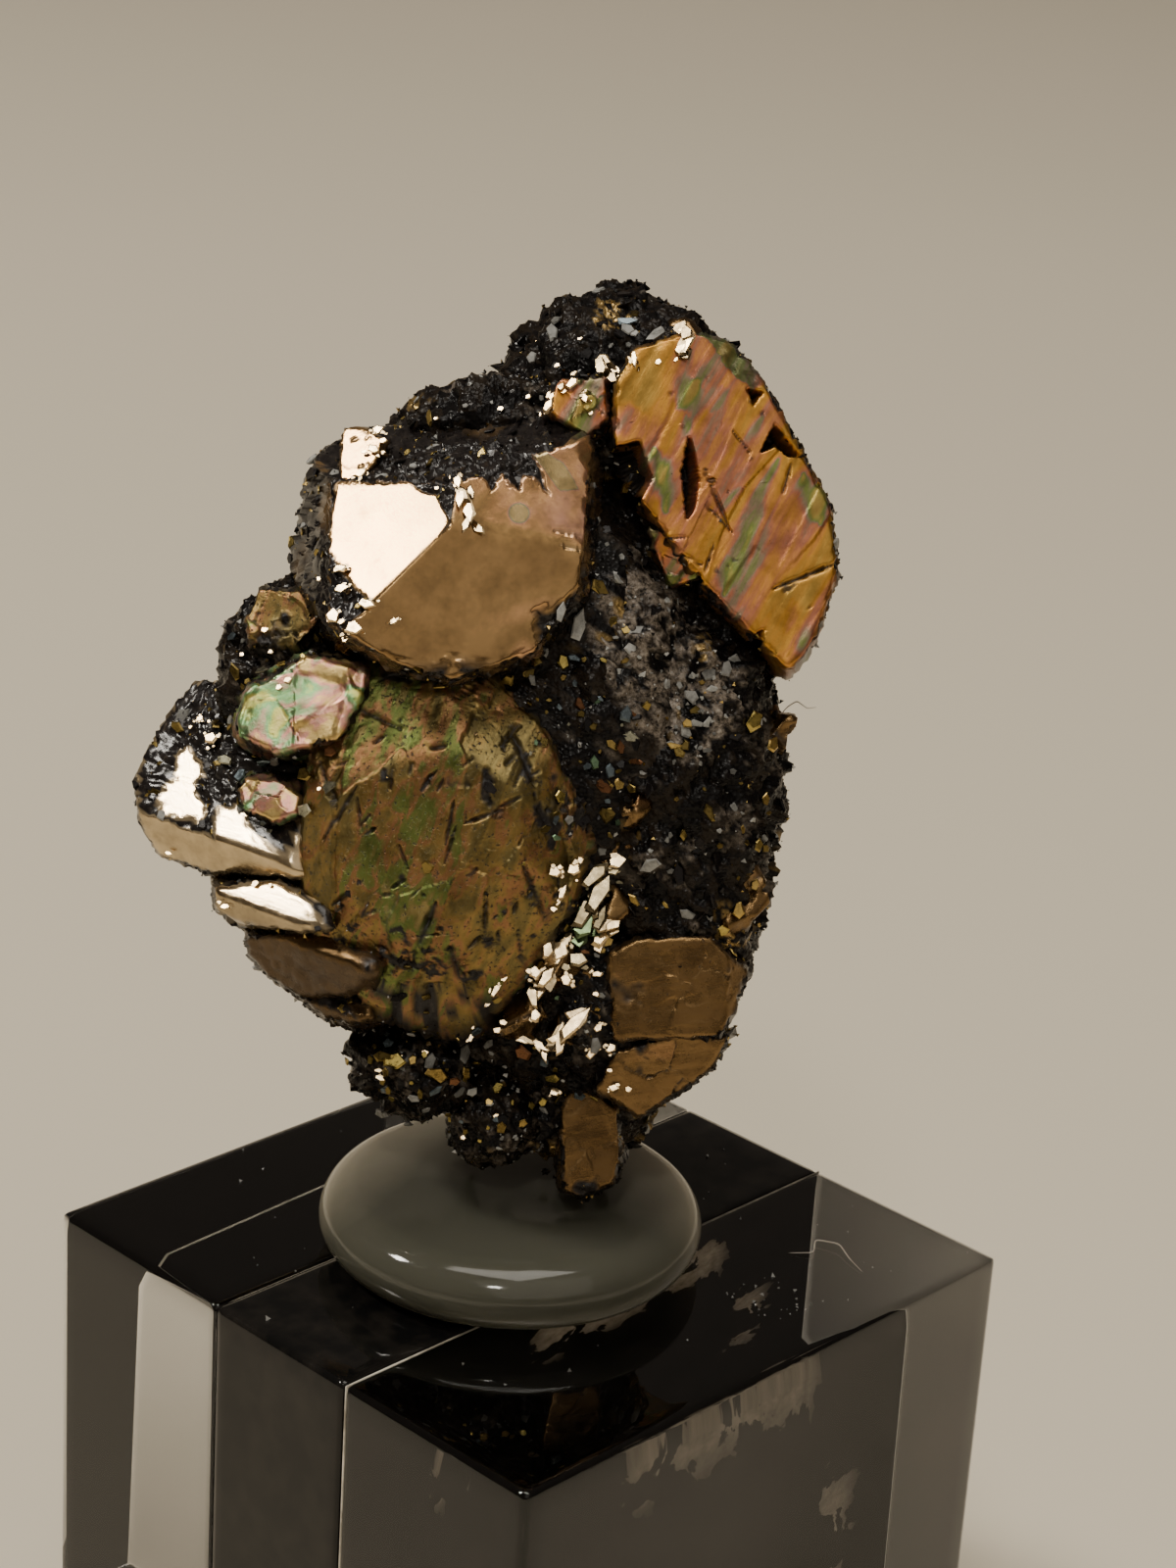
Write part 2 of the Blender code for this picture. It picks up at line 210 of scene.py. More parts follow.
def wrapped(grid):
    """Points and faces of a closed skin from a (rows, columns, 3) grid: the columns run round,
    counter-clockwise as seen from the first row's pole, and each end row is one point."""
    rows, columns = grid.shape[:2]
    points = np.concatenate([grid[:1, 0], grid[1:-1].reshape(-1, 3), grid[-1:, 0]])
    ring = np.arange(columns)
    after = (ring + 1) % columns
    first = 1 + ring
    caps = [
        np.stack([np.zeros_like(ring), first, 1 + after], -1),
        np.stack([np.full_like(ring, len(points) - 1), first[after] + (rows - 3) * columns,
                  first + (rows - 3) * columns], -1),
    ]
    low = 1 + np.arange(rows - 3)[:, None] * columns
    sides = np.stack([low + ring, low + columns + ring, low + columns + after, low + after], -1)
    return points, [caps[0], caps[1], sides.reshape(-1, 4)]


def gathered(values):
    """A mark's (rows, columns) values in the order of the skin's points."""
    return np.concatenate([values[:1, 0], values[1:-1].ravel(), values[-1:, 0]])


def looks(rows, columns, front=0.78, open_angle=68):
    """Unit directions on a polar grid whose pole looks at the viewer. The front share of the rows
    is spaced evenly as seen from the front, out to the open angle; the rest turn to the back."""
    near = max(int(rows * front), 2)
    wide = math.radians(open_angle)
    theta = np.arctan(np.linspace(0, 1, near) * math.tan(wide))
    theta = np.concatenate([theta, np.linspace(wide, math.pi, rows - near + 1)[1:]])[:, None]
    phi = np.linspace(0, 2 * math.pi, columns, endpoint=False)[None, :]
    return np.stack([np.sin(theta) * np.cos(phi), np.sin(theta) * np.sin(phi),
                     np.cos(theta) * np.ones_like(phi)], -1)


def belt_looks(rows, columns):
    """Unit directions on a grid whose poles look up and down, so that neither faces the viewer.
    The columns lie closer together in front."""
    theta = np.linspace(0, math.pi, rows)[:, None]
    t = np.linspace(0, 2 * math.pi, columns, endpoint=False)[None, :]
    phi = t - 0.35 * np.sin(t)
    return np.stack([np.sin(theta) * np.sin(phi), np.cos(theta) * np.ones_like(phi),
                     np.sin(theta) * np.cos(phi)], -1)


def flat_sides(outline, level, back, faces, lean, tail):
    """Normals and offsets of a crystal's flats: sides through its clockwise outline at the level,
    leaning in by lean degrees in front and tail degrees behind, a back, and the given faces."""
    here = np.array(outline, float)
    along = np.roll(here, -1, axis=0) - here
    outward = np.stack([-along[:, 1], along[:, 0]], -1)
    outward /= np.linalg.norm(outward, axis=1, keepdims=True)
    normals, offsets = [np.array([[0, 0, -1.0]])], [np.array([-back])]
    foot = np.column_stack([here, np.full(len(here), level)])
    for slope, sign in ((lean, 1), (tail, -1)):
        s = math.radians(slope)
        n = np.column_stack([outward * math.cos(s), np.full(len(here), sign * math.sin(s))])
        normals.append(n)
        offsets.append(np.sum(n * foot, 1))
    for point, look in faces:
        n = towards(*look)
        normals.append(n[None])
        offsets.append(np.array([n @ np.array(point)]))
    return np.concatenate(normals), np.concatenate(offsets)


def cut_skin(normals, offsets, centre, ways, edge=110.0):
    """Where rays from the centre leave the space inside flats, with eased edges: the distance out
    is the least over the flats, taken as a power mean. Returns the points, the mean normals and
    how near an edge is (0 on it)."""
    reach = offsets - normals @ centre
    inverse = np.maximum(ways @ normals.T / reach, 1e-6)
    top = inverse.max(-1, keepdims=True)
    share = (inverse / top) ** edge
    distance = 1 / (top[..., 0] * share.sum(-1) ** (1 / edge))
    lean = share @ normals
    lean /= np.linalg.norm(lean, axis=-1, keepdims=True)
    order = np.argpartition(inverse, -2, axis=-1)[..., -2:]
    pair = np.take_along_axis(inverse, order, -1)
    turn = 1 - np.sum(normals[order[..., 0]] * normals[order[..., 1]], -1)
    rim = 1 - pair.min(-1) / pair.max(-1) + 0.02 / np.maximum(turn, 0.02) - 0.02
    return centre + ways * distance[..., None], lean, rim


# Places where crumbs may sit: points, normals, how many, how ashy and how gilt
SOIL = {"points": [], "normals": [], "weight": [], "ash": [], "gilt": []}


def sow(points, normals, weight, ash, gilt):
    """Marks a skin's points as places for crumbs, by their share of its area."""
    across, along = np.gradient(points, axis=0), np.gradient(points, axis=1)
    area = np.linalg.norm(np.cross(across, along), axis=-1)
    ones = np.ones(points.shape[:-1])
    for key, value in (("points", points), ("normals", normals)):
        SOIL[key].append(value.reshape(-1, 3))
    for key, value in (("weight", weight * area), ("ash", ash * ones), ("gilt", gilt * ones)):
        SOIL[key].append(value.ravel())


def on_stone(made):
    """Lets a piece ride with the stone and take its place."""
    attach(made, "root")
    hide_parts(STONE)


def stone_piece(name, grid, finish, marks):
    """A closed skin of the stone, in place of the CAD stone."""
    points, faces = wrapped(grid)
    marks = {key: gathered(value) for key, value in marks.items()}
    on_stone(mesh_piece(name, to_place(points), faces, finish, marks))


# Finishes

def node(tree, kind, links=None, **values):
    """A shader node with its sockets set to values, or linked from other sockets."""
    made = tree.nodes.new(kind)
    for key, value in values.items():
        setattr(made, key, value)
    for key, value in (links or {}).items():
        if isinstance(value, bpy.types.NodeSocket):
            tree.links.new(value, made.inputs[key])
        else:
            made.inputs[key].default_value = value
    return made


def finish_base(name, gloss=0.5):
    """A material, its node tree and its Principled shader."""
    made = bpy.data.materials.new(name)
    made.use_nodes = True
    shader = made.node_tree.nodes["Principled BSDF"]
    shader.inputs["Specular IOR Level"].default_value = gloss
    return made, made.node_tree, shader


def object_place(tree):
    """Object coordinates, in metres."""
    return node(tree, "ShaderNodeTexCoord").outputs["Object"]


def block_place(tree):
    """Object coordinates in millimetres, and each of their axes."""
    place = node(tree, "ShaderNodeMapping", {
        "Vector": object_place(tree), "Scale": (1 / MM, 1 / MM, 1 / MM),
    }).outputs["Vector"]
    return place, node(tree, "ShaderNodeSeparateXYZ", {"Vector": place}).outputs


def show_place(tree):
    """Show-frame millimetres at each point, from Object coordinates."""
    return node(tree, "ShaderNodeMapping", {
        "Vector": object_place(tree), "Location": tuple(STONE_CENTRE), "Rotation": tuple(SHOW_TURN),
        "Scale": (MM, MM, MM),
    }, vector_type="TEXTURE").outputs["Vector"]


def streaked(tree, place, angle, stretch):
    """Places turned in the show view by an angle in degrees and drawn out along it."""
    return node(tree, "ShaderNodeMapping", {
        "Vector": place, "Rotation": (0, 0, math.radians(angle)), "Scale": (stretch, 1, stretch),
    }, vector_type="TEXTURE").outputs["Vector"]


def clouds(tree, place, pitch, detail=4.0, rough=0.55, distortion=0.0):
    """Noise from 0 to 1 with features of the pitch in millimetres."""
    return node(tree, "ShaderNodeTexNoise", {
        "Vector": place, "Scale": 1 / pitch, "Detail": detail, "Roughness": rough,
        "Distortion": distortion,
    }).outputs["Fac"]


def mottle(tree, place, scale, detail):
    """Noise from 0 to 1 with so many features to the metre."""
    return node(tree, "ShaderNodeTexNoise", {
        "Vector": place, "Scale": scale, "Detail": detail,
    }).outputs["Fac"]


def ramp(tree, factor, stops):
    """Colours (or greys) along a factor."""
    made = node(tree, "ShaderNodeValToRGB", {"Fac": factor})
    ends = made.color_ramp.elements
    while len(ends) < len(stops):
        ends.new(0.5)
    for end, (at, colour) in zip(ends, stops):
        end.position = at
        end.color = (*colour, 1) if len(colour) == 3 else (colour[0],) * 3 + (1,)
    return made.outputs["Color"]


def blend(tree, factor, under, over, kind="MIX"):
    """Two colours mixed by a factor."""
    made = node(tree, "ShaderNodeMix", data_type="RGBA", blend_type=kind)
    for at, value in ((0, factor), (6, under), (7, over)):
        if isinstance(value, bpy.types.NodeSocket):
            tree.links.new(value, made.inputs[at])
        elif at == 0:
            made.inputs[at].default_value = value
        else:
            made.inputs[at].default_value = (*value, 1)
    return made.outputs[2]


def arithmetic(tree, kind, first, second):
    """One sum of the kind on two factors."""
    made = node(tree, "ShaderNodeMath", operation=kind)
    for at, value in enumerate((first, second)):
        if isinstance(value, bpy.types.NodeSocket):
            tree.links.new(value, made.inputs[at])
        else:
            made.inputs[at].default_value = value
    return made.outputs[0]


def plus(tree, first, second):
    """Two factors added."""
    return arithmetic(tree, "ADD", first, second)


def times(tree, first, second):
    """Two factors multiplied."""
    return arithmetic(tree, "MULTIPLY", first, second)


def span(tree, value, low, high, to_low=0.0, to_high=1.0):
    """A factor moved from the range low to high into another, and kept inside it."""
    return node(tree, "ShaderNodeMapRange", {
        "Value": value, "From Min": low, "From Max": high, "To Min": to_low, "To Max": to_high,
    }).outputs["Result"]


def dress(tree, shader, colour, roughness):
    """Gives a finish its colour and its roughness."""
    tree.links.new(colour, shader.inputs["Base Color"])
    tree.links.new(roughness, shader.inputs["Roughness"])


def emboss(tree, shader, height, strength, depth):
    """Gives a finish its fine relief, with its depth in metres."""
    bump = node(tree, "ShaderNodeBump", {"Height": height, "Strength": strength, "Distance": depth})
    tree.links.new(bump.outputs["Normal"], shader.inputs["Normal"])


def mark(tree, name):
    """A point mark of the mesh."""
    return node(tree, "ShaderNodeAttribute", attribute_name=name).outputs["Fac"]


# Colours of the tarnish as its film thickens, from bare metal through orange, pink and green
VIVID = [
    (0.00, (0.36, 0.23, 0.07)), (0.20, (0.50, 0.30, 0.07)), (0.38, (0.62, 0.30, 0.055)),
    (0.48, (0.60, 0.26, 0.08)), (0.56, (0.52, 0.20, 0.12)), (0.64, (0.33, 0.24, 0.16)),
    (0.74, (0.21, 0.26, 0.075)), (0.86, (0.42, 0.32, 0.085)), (1.00, (0.50, 0.33, 0.10)),
]
OLIVE = [
    (0.00, (0.10, 0.078, 0.036)), (0.30, (0.20, 0.155, 0.06)), (0.44, (0.30, 0.200, 0.07)),
    (0.53, (0.33, 0.165, 0.08)), (0.62, (0.19, 0.185, 0.06)), (0.74, (0.15, 0.195, 0.055)),
    (0.88, (0.26, 0.21, 0.08)), (1.00, (0.34, 0.27, 0.11)),
]
BROWN = [
    (0.00, (0.15, 0.10, 0.055)), (0.35, (0.36, 0.22, 0.095)), (0.60, (0.45, 0.28, 0.12)),
    (0.70, (0.70, 0.40, 0.19)), (0.80, (0.66, 0.36, 0.24)), (0.90, (0.40, 0.38, 0.24)),
    (1.00, (0.56, 0.42, 0.20)),
]
BRIGHT = [
    (0.00, (0.72, 0.56, 0.24)), (0.30, (0.82, 0.58, 0.22)), (0.42, (0.74, 0.34, 0.28)),
    (0.52, (0.44, 0.44, 0.26)), (0.62, (0.25, 0.50, 0.22)), (0.76, (0.60, 0.60, 0.16)),
    (1.00, (0.82, 0.66, 0.28)),
]
UMBER = [(at, tuple(0.56 * part for part in colour)) for at, colour in BROWN]
BRASS = [
    (0.00, (0.50, 0.37, 0.20)), (0.35, (0.70, 0.55, 0.34)), (0.60, (0.82, 0.66, 0.43)),
    (0.80, (0.62, 0.44, 0.20)), (1.00, (0.58, 0.42, 0.18)),
]


def pyrite(name, colours, film_pitch, angle, stretch, rough, grain, speckle, spread):
    """Pyrite under a tarnish film. The film's thickness is noise drawn out along the growth
    streaks, moved by the point mark "film". Black hematite shows where the mark "dark" says, and as
    fine specks; on the steps' risers the mark "dark" also carries painted shade."""
    made, tree, shader = finish_base(name, 0.3)
    place = show_place(tree)
    film = clouds(tree, streaked(tree, place, angle, stretch), film_pitch, 5.0, 0.55, 0.35)
    film = plus(tree, times(tree, arithmetic(tree, "SUBTRACT", film, 0.5), spread), 0.45)
    gold = ramp(tree, plus(tree, film, mark(tree, "film")), colours)
    cloudy = clouds(tree, place, 1.1, 6.0, 0.65)
    worn = ramp(tree, cloudy, [(0.28, (0.55,)), (0.60, (1.0,))])
    gold = blend(tree, 1.0, gold, worn, "MULTIPLY")
    fine = clouds(tree, place, 0.16, 4.0, 0.7)
    specks = ramp(tree, fine, [(0.70 - speckle, (0.0,)), (0.75 - speckle, (0.85,))])
    dark = arithmetic(tree, "MAXIMUM", mark(tree, "dark"), specks)
    black = ramp(tree, clouds(tree, place, 0.35, 5.0, 0.7), [
        (0.30, (0.004, 0.003, 0.003)), (0.58, (0.016, 0.013, 0.012)), (0.68, (0.05, 0.04, 0.03)),
        (0.78, (0.16, 0.14, 0.12)),
    ])
    tree.links.new(span(tree, dark, 0.0, 1.0, 1.0, 0.0), shader.inputs["Metallic"])
    dress(tree, shader, blend(tree, dark, gold, black), span(tree, cloudy, 0.3, 0.7, *rough))
    lines = clouds(tree, streaked(tree, place, angle, 14.0), 0.22, 3.0, 0.6)
    height = plus(tree, lines, clouds(tree, place, 0.12, 5.0, 0.7))
    emboss(tree, shader, plus(tree, height, times(tree, dark, -1.5)), grain, 0.04 * MM)
    return made


def hematite(name):
    """Black crumbly hematite: dark glossy grains, some of them ash grey or gilt."""
    made, tree, shader = finish_base(name, 0.12)
    place = show_place(tree)
    tone = ramp(tree, plus(tree, mark(tree, "grain"), clouds(tree, place, 0.9, 4.0, 0.6)), [
        (0.20, (0.002, 0.002, 0.002)), (0.70, (0.006, 0.005, 0.005)),
        (0.84, (0.018, 0.013, 0.009)), (1.0, (0.008, 0.006, 0.005)),
    ])
    ash = ramp(tree, clouds(tree, place, 0.3, 5.0, 0.75), [
        (0.38, (0.012, 0.010, 0.008)), (0.52, (0.17, 0.14, 0.11)), (0.72, (0.42, 0.37, 0.31)),
    ])
    tone = blend(tree, mark(tree, "grey"), tone, ash)
    tone = blend(tree, mark(tree, "gilt"), tone, (0.42, 0.28, 0.10))
    tree.links.new(mark(tree, "gilt"), shader.inputs["Metallic"])
    dress(tree, shader, tone, span(tree, clouds(tree, place, 0.25, 3.0), 0.3, 0.7, 0.12, 0.40))
    cells = node(tree, "ShaderNodeTexVoronoi", {"Vector": place, "Scale": 1 / 0.2}, feature="F1")
    emboss(tree, shader, cells.outputs["Distance"], 0.6, 0.08 * MM)
    return made


def broken_bits(name):
    """Loose-looking grains: each has its own tint and metal share, cloudy within."""
    made, tree, shader = finish_base(name, 0.16)
    place = show_place(tree)
    tint = node(tree, "ShaderNodeAttribute", attribute_name="tint").outputs["Color"]
    cloudy = clouds(tree, place, 0.35, 5.0, 0.7)
    tone = blend(tree, 1.0, tint, ramp(tree, cloudy, [(0.3, (0.45,)), (0.6, (1.0,))]), "MULTIPLY")
    tree.links.new(mark(tree, "shine"), shader.inputs["Metallic"])
    dress(tree, shader, tone, span(tree, cloudy, 0.3, 0.7, 0.18, 0.42))
    emboss(tree, shader, clouds(tree, place, 0.08, 4.0), 0.15, 0.03 * MM)
    return made


# The stone's crystals

def crystal(name, outline, level, back, faces, finish, relief, lean=8, tail=30,
            rows=150, columns=300, depth=1.5, edge=110.0, belt=False, seed=0):
    """A crystal: the skin of its flats, raised along its normals by its relief and chipped along
    its edges. The relief gets the points and normals and gives a height in millimetres, the dark
    share and the film."""
    normals, offsets = flat_sides(outline, level, back, faces, lean, tail)
    middle = np.mean(np.array(outline), axis=0)
    centre = np.array([middle[0], middle[1], level - depth])
    wide = np.ptp(np.array(outline), axis=0).max() / 2
    front_rise = max((n[2] > 0.5) * (o - n @ centre) for n, o in zip(normals, offsets))
    open_angle = math.degrees(math.atan2(wide, max(front_rise, 1.0))) + 6
    ways = belt_looks(rows, columns) if belt else looks(rows, columns, 0.8, open_angle)
    points, out, rim = cut_skin(normals, offsets, centre, ways, edge)
    height, dark, film = relief(points, out)
    broken = flakes(points, 0.45, seed + 300, 0.5, 0.6)[0]
    bare = out @ towards(*LIT) > 0.93
    height = height - 0.14 * np.clip(1 - rim / 0.045, 0, 1) * np.clip(broken + 0.2, 0, 1) * ~bare
    side = np.clip((0.5 - out[..., 2]) * 3, 0, 1)
    dark = np.maximum(dark, side * np.clip(0.85 + swell(points, 0.9, seed + 310, 3), 0, 1))
    crumbly = flakes(points, 0.38, seed + 320, 0.07, 0.5)[0]
    height = height + crumbly * dark
    points = points + out * height[..., None]
    sow(points, out, np.clip((dark - 0.65) * 3, 0, 1), 0.10, 0.30)
    stone_piece(name, points, finish, {"dark": dark, "film": film})


def plain_relief(seed, rough=0.02, crack=0.04, dark_level=0.62, film=0.0, slope=0.05):
    """Relief of an ordinary face: low swells, a few broken flats and cracks between some."""
    def relief(points, normals):
        warped = points + 0.25 * swell(points, 0.8, seed + 2, 2)[..., None]
        height, number, border = flakes(warped, 1.5, seed + 3, rough, slope)
        height = height + rough * swell(points, 1.6, seed, 3)
        split = np.exp(-((border / 0.05) ** 2)) * (number > dark_level)
        crust = np.clip((swell(points, 2.0, seed + 9, 4) - 0.34) * 9, 0, 1)
        dark = np.clip(np.maximum(0.9 * split, crust), 0, 1)
        return height - crack * split, dark, film + 0.25 * (number - 0.5)
    return relief


def left_upper_crystal(finish):
    """The big crystal at the upper left, smooth on its lit and brown faces and grainy on top."""
    outline = [
        (-6.1, 13.0), (-2.8, 14.2), (-0.8, 14.8), (2.8, 14.5), (4.6, 12.0), (4.6, 7.9), (4.4, 5.3),
        (2.4, 2.8), (-1.2, 1.5), (-3.9, 2.2), (-6.7, 3.9), (-8.4, 7.5), (-7.9, 10.0),
    ]
    ridge = (-1.3, 8.3, 6.8)
    faces = [
        (ridge, LIT),
        (ridge, (8, -3)),
        (ridge, (15, 22)),
        ((-2.8, 10.2, 4.95), (-20, 62)),
        ((-6.1, 8.0, 4.8), (-70, 8)),
    ]
    lit_patch = [
        (-5.7, 12.5), (-4.7, 12.05), (-3.95, 12.05), (-3.9, 11.4), (-4.6, 11.1), (-5.15, 10.7),
        (-5.0, 10.2), (-4.5, 10.26), (-3.9, 10.05), (-3.1, 10.1), (-2.5, 9.7), (-1.9, 9.5),
        (-1.4, 8.45), (-1.9, 7.6), (-2.5, 6.5), (-3.35, 5.4), (-4.0, 5.2), (-4.6, 5.6),
        (-5.3, 6.3), (-6.0, 7.4), (-6.0, 8.8),
    ]
    tongues = [
        [(-0.6, 10.5), (0.06, 11.0), (0.9, 11.4), (1.3, 11.9), (1.9, 10.9), (2.5, 9.5),
         (1.97, 10.05), (1.44, 10.4), (1.33, 9.8), (0.8, 9.9), (0.7, 10.4), (0.27, 9.7),
         (-0.16, 10.2)],
        [(-0.9, 10.4), (-0.9, 15.0), (3.0, 15.0), (4.3, 13.0), (1.9, 13.1), (1.4, 12.0),
         (0.6, 11.2)],
    ]
    band = [(1.44, 13.3), (1.76, 12.1), (2.4, 11.2), (3.0, 10.8), (3.6, 9.9), (2.9, 9.8),
            (2.3, 10.5), (1.76, 11.3), (1.3, 12.1), (1.2, 12.9)]
    corner = [(1.9, 4.95), (3.2, 5.6), (5.2, 6.4), (5.2, 2.0), (2.0, 1.5), (2.3, 3.4)]

    def relief(points, normals):
        lit = normals @ towards(*LIT) > 0.95
        top = np.clip((normals[..., 1] - 0.6) * 6, 0, 1)
        left = np.clip((-normals[..., 0] - 0.62) * 6, 0, 1)
        front = (normals[..., 2] > 0.5) * ~lit
        patchy = swell(points, 1.8, 5, 4)
        shoulder = np.clip((points[..., 1] - 7.9 + 0.2 * points[..., 0]) * 1.4, 0, 1) * front
        tongue = sum(inside(points, shape, 0.1, 0.16, 7) for shape in tongues) * front
        grey = inside(points, band, 0.1, 0.1, 8) * front
        edge_dark = lit * (1 - inside(points, lit_patch, 0.08, 0.08, 9))
        low_right = inside(points, corner, 0.3, 0.35, 10)
        streak = gash(points, (2.6, 8.2), (4.4, 7.8), 0.07)
        streak = streak + gash(points, (2.8, 7.6), (4.4, 7.3), 0.05)
        rim_low = np.clip((3.5 - points[..., 1] - 0.22 * abs(points[..., 0] + 1)) * 1.6, 0, 1)
        crust = np.clip((patchy + 0.9 * swell(points, 0.6, 14, 3) + 0.25) * 6, 0, 1) * rim_low
        dark = np.clip(np.maximum.reduce([
            top * np.clip(1.3 + patchy, 0, 1), left * np.clip(1.2 + patchy, 0, 1), tongue,
            edge_dark, low_right, 0.6 * streak * front, crust,
        ]), 0, 1) * (1 - 0.7 * grey)
        height = 0.012 * swell(points, 3.0, 12, 2) * ~lit - 0.10 * tongue - 0.15 * low_right
        height = height - 0.04 * streak
        spot = np.exp(-(((points[..., 0] - 1.28) ** 2 + (points[..., 1] - 8.83) ** 2) / 0.16) ** 3)
        warm = np.exp(-((points[..., 1] - 5.2 - 0.45 * (points[..., 0] - 1.97)) / 0.8) ** 2)
        warm = warm * np.clip(points[..., 0] * 0.5 + 0.3, 0, 1)
        low_tint = ((points[..., 0] - 1.6) / 1.1) ** 2 + ((points[..., 1] - 3.4) / 0.9) ** 2
        film = 0.31 * shoulder + 0.45 * np.maximum(spot, grey) * front
        film = film + 0.34 * np.maximum(0.7 * warm, np.exp(-low_tint))
        return height, dark, film

    crystal("upper_left_crystal", outline, 0, -8, faces, finish, relief,
            rows=150, columns=300, depth=1.0, edge=300.0, seed=1)


def right_plate(finish):
    """The tarnished plate at the upper right: growth streaks, cracks and a ragged inner edge."""
    outline = [
        (4.6, 14.3), (5.5, 15.8), (7.9, 16.6), (9.6, 16.2), (11.0, 14.7), (12.1, 12.7),
        (13.8, 9.5), (14.1, 6.7), (13.1, 3.9), (12.1, 2.5), (10.3, 3.1), (7.9, 6.3), (5.5, 8.7),
        (4.5, 11.5),
    ]
    pits = [
        [(4.1, 11.4), (5.4, 11.7), (5.9, 11.85), (6.1, 11.3), (6.4, 10.4), (5.9, 9.5), (5.8, 8.9),
         (6.1, 8.0), (6.3, 7.7), (4.7, 7.7), (4.0, 8.6)],
        [(7.95, 12.05), (7.68, 10.8), (7.8, 9.6), (7.84, 8.9), (8.05, 9.2), (8.3, 10.3),
         (8.16, 11.0)],
        [(11.3, 12.6), (11.9, 11.9), (12.4, 11.4), (11.8, 11.4), (11.3, 11.8), (10.8, 11.55)],
        [(10.3, 14.0), (10.8, 13.9), (10.5, 13.4)],
        [(9.7, 2.6), (9.85, 3.6), (10.3, 4.0), (10.75, 4.44), (10.64, 3.7), (10.43, 3.2),
         (10.1, 2.6)],
        [(4.0, 13.2), (4.3, 15.6), (5.0, 15.9), (4.9, 14.4), (4.7, 12.9), (4.4, 12.6)],
        [(7.9, 6.6), (8.3, 6.7), (8.5, 5.5), (9.2, 4.2), (10.0, 3.2), (9.0, 2.5), (7.0, 5.5)],
    ]
    grey_rim = [(7.2, 17.0), (8.6, 16.9), (9.9, 16.2), (11.3, 14.5), (10.5, 13.9), (9.7, 14.6),
                (9.2, 15.3), (8.5, 16.0), (7.6, 16.4)]
    ash_patch = [(4.6, 7.8), (5.4, 8.0), (6.2, 7.9), (6.5, 7.5), (6.8, 6.6), (5.9, 6.5), (5.4, 7.2)]
    cracks = [
        ((11.2, 6.1), (13.9, 7.2), 0.09), ((8.5, 9.5), (9.6, 8.35), 0.05),
        ((8.75, 10.3), (9.5, 8.5), 0.05), ((11.97, 11.1), (11.6, 9.8), 0.06),
        ((9.6, 12.4), (10.4, 11.4), 0.03), ((8.9, 7.9), (8.5, 6.7), 0.04),
        ((6.3, 7.95), (8.5, 7.0), 0.04), ((6.4, 8.05), (7.9, 8.1), 0.04),
    ]
    green = [
        ((11.5, 11.3), (9.3, 5.9), 0.45), ((8.4, 14.4), (7.6, 13.3), 0.45),
        ((6.0, 13.3), (4.9, 12.4), 0.6), ((6.6, 11.6), (7.2, 9.3), 0.45),
        ((12.4, 10.6), (13.0, 8.6), 0.5),
    ]
    pink = [
        ((7.9, 13.1), (8.2, 11.6), 0.22), ((10.9, 13.0), (9.0, 9.6), 0.35),
        ((10.2, 10.2), (8.9, 9.2), 0.3), ((9.6, 7.6), (8.7, 5.2), 0.3),
        ((11.9, 5.6), (12.6, 3.4), 0.5), ((13.3, 8.9), (12.6, 7.4), 0.3),
        ((9.3, 14.2), (8.9, 13.2), 0.3),
    ]
    slope = math.radians(60)
    along = np.array([math.cos(slope), math.sin(slope), 0])

    def relief(points, normals):
        drawn = points - (points @ along)[..., None] * along * 0.88
        height = 0.022 * swell(drawn, 0.4, 31, 3) + 0.02 * swell(points, 2.5, 33, 2)
        height = height + flakes(drawn, 1.3, 34, 0.012, 0.03)[0]
        split = np.clip(sum(gash(points, *line) for line in cracks), 0, 1)
        pit = np.clip(sum(inside(points, shape, 0.09, 0.09, 36) for shape in pits), 0, 1)
        grey = inside(points, grey_rim, 0.2, 0.2, 37)
        ash = inside(points, ash_patch, 0.1, 0.1, 38)
        specks = np.clip((swell(points, 0.45, 40, 3) - 0.5) * 8, 0, 1)
        dark = np.clip(np.maximum.reduce([split, pit * (1 - ash), 0.8 * specks, 0.55 * grey]), 0, 1)
        bent = points + 0.4 * swell(drawn, 0.9, 41, 3)[..., None]
        film = 0.32 * np.clip(sum(gash(bent, *line) for line in green), 0, 1)
        film = film + 0.13 * np.clip(sum(gash(bent, *line) for line in pink), 0, 1) - 0.04
        film = np.where(grey > 0.5, 0.2, film)
        height = height - 0.12 * split - 1.6 * pit * (1 - ash)
        return height, dark, film

    crystal("right_plate", outline, -1, -6, [((9.2, 10.0, 2.6), (10, 2))], finish, relief,
            lean=6, rows=150, columns=310, depth=1.5, seed=2)


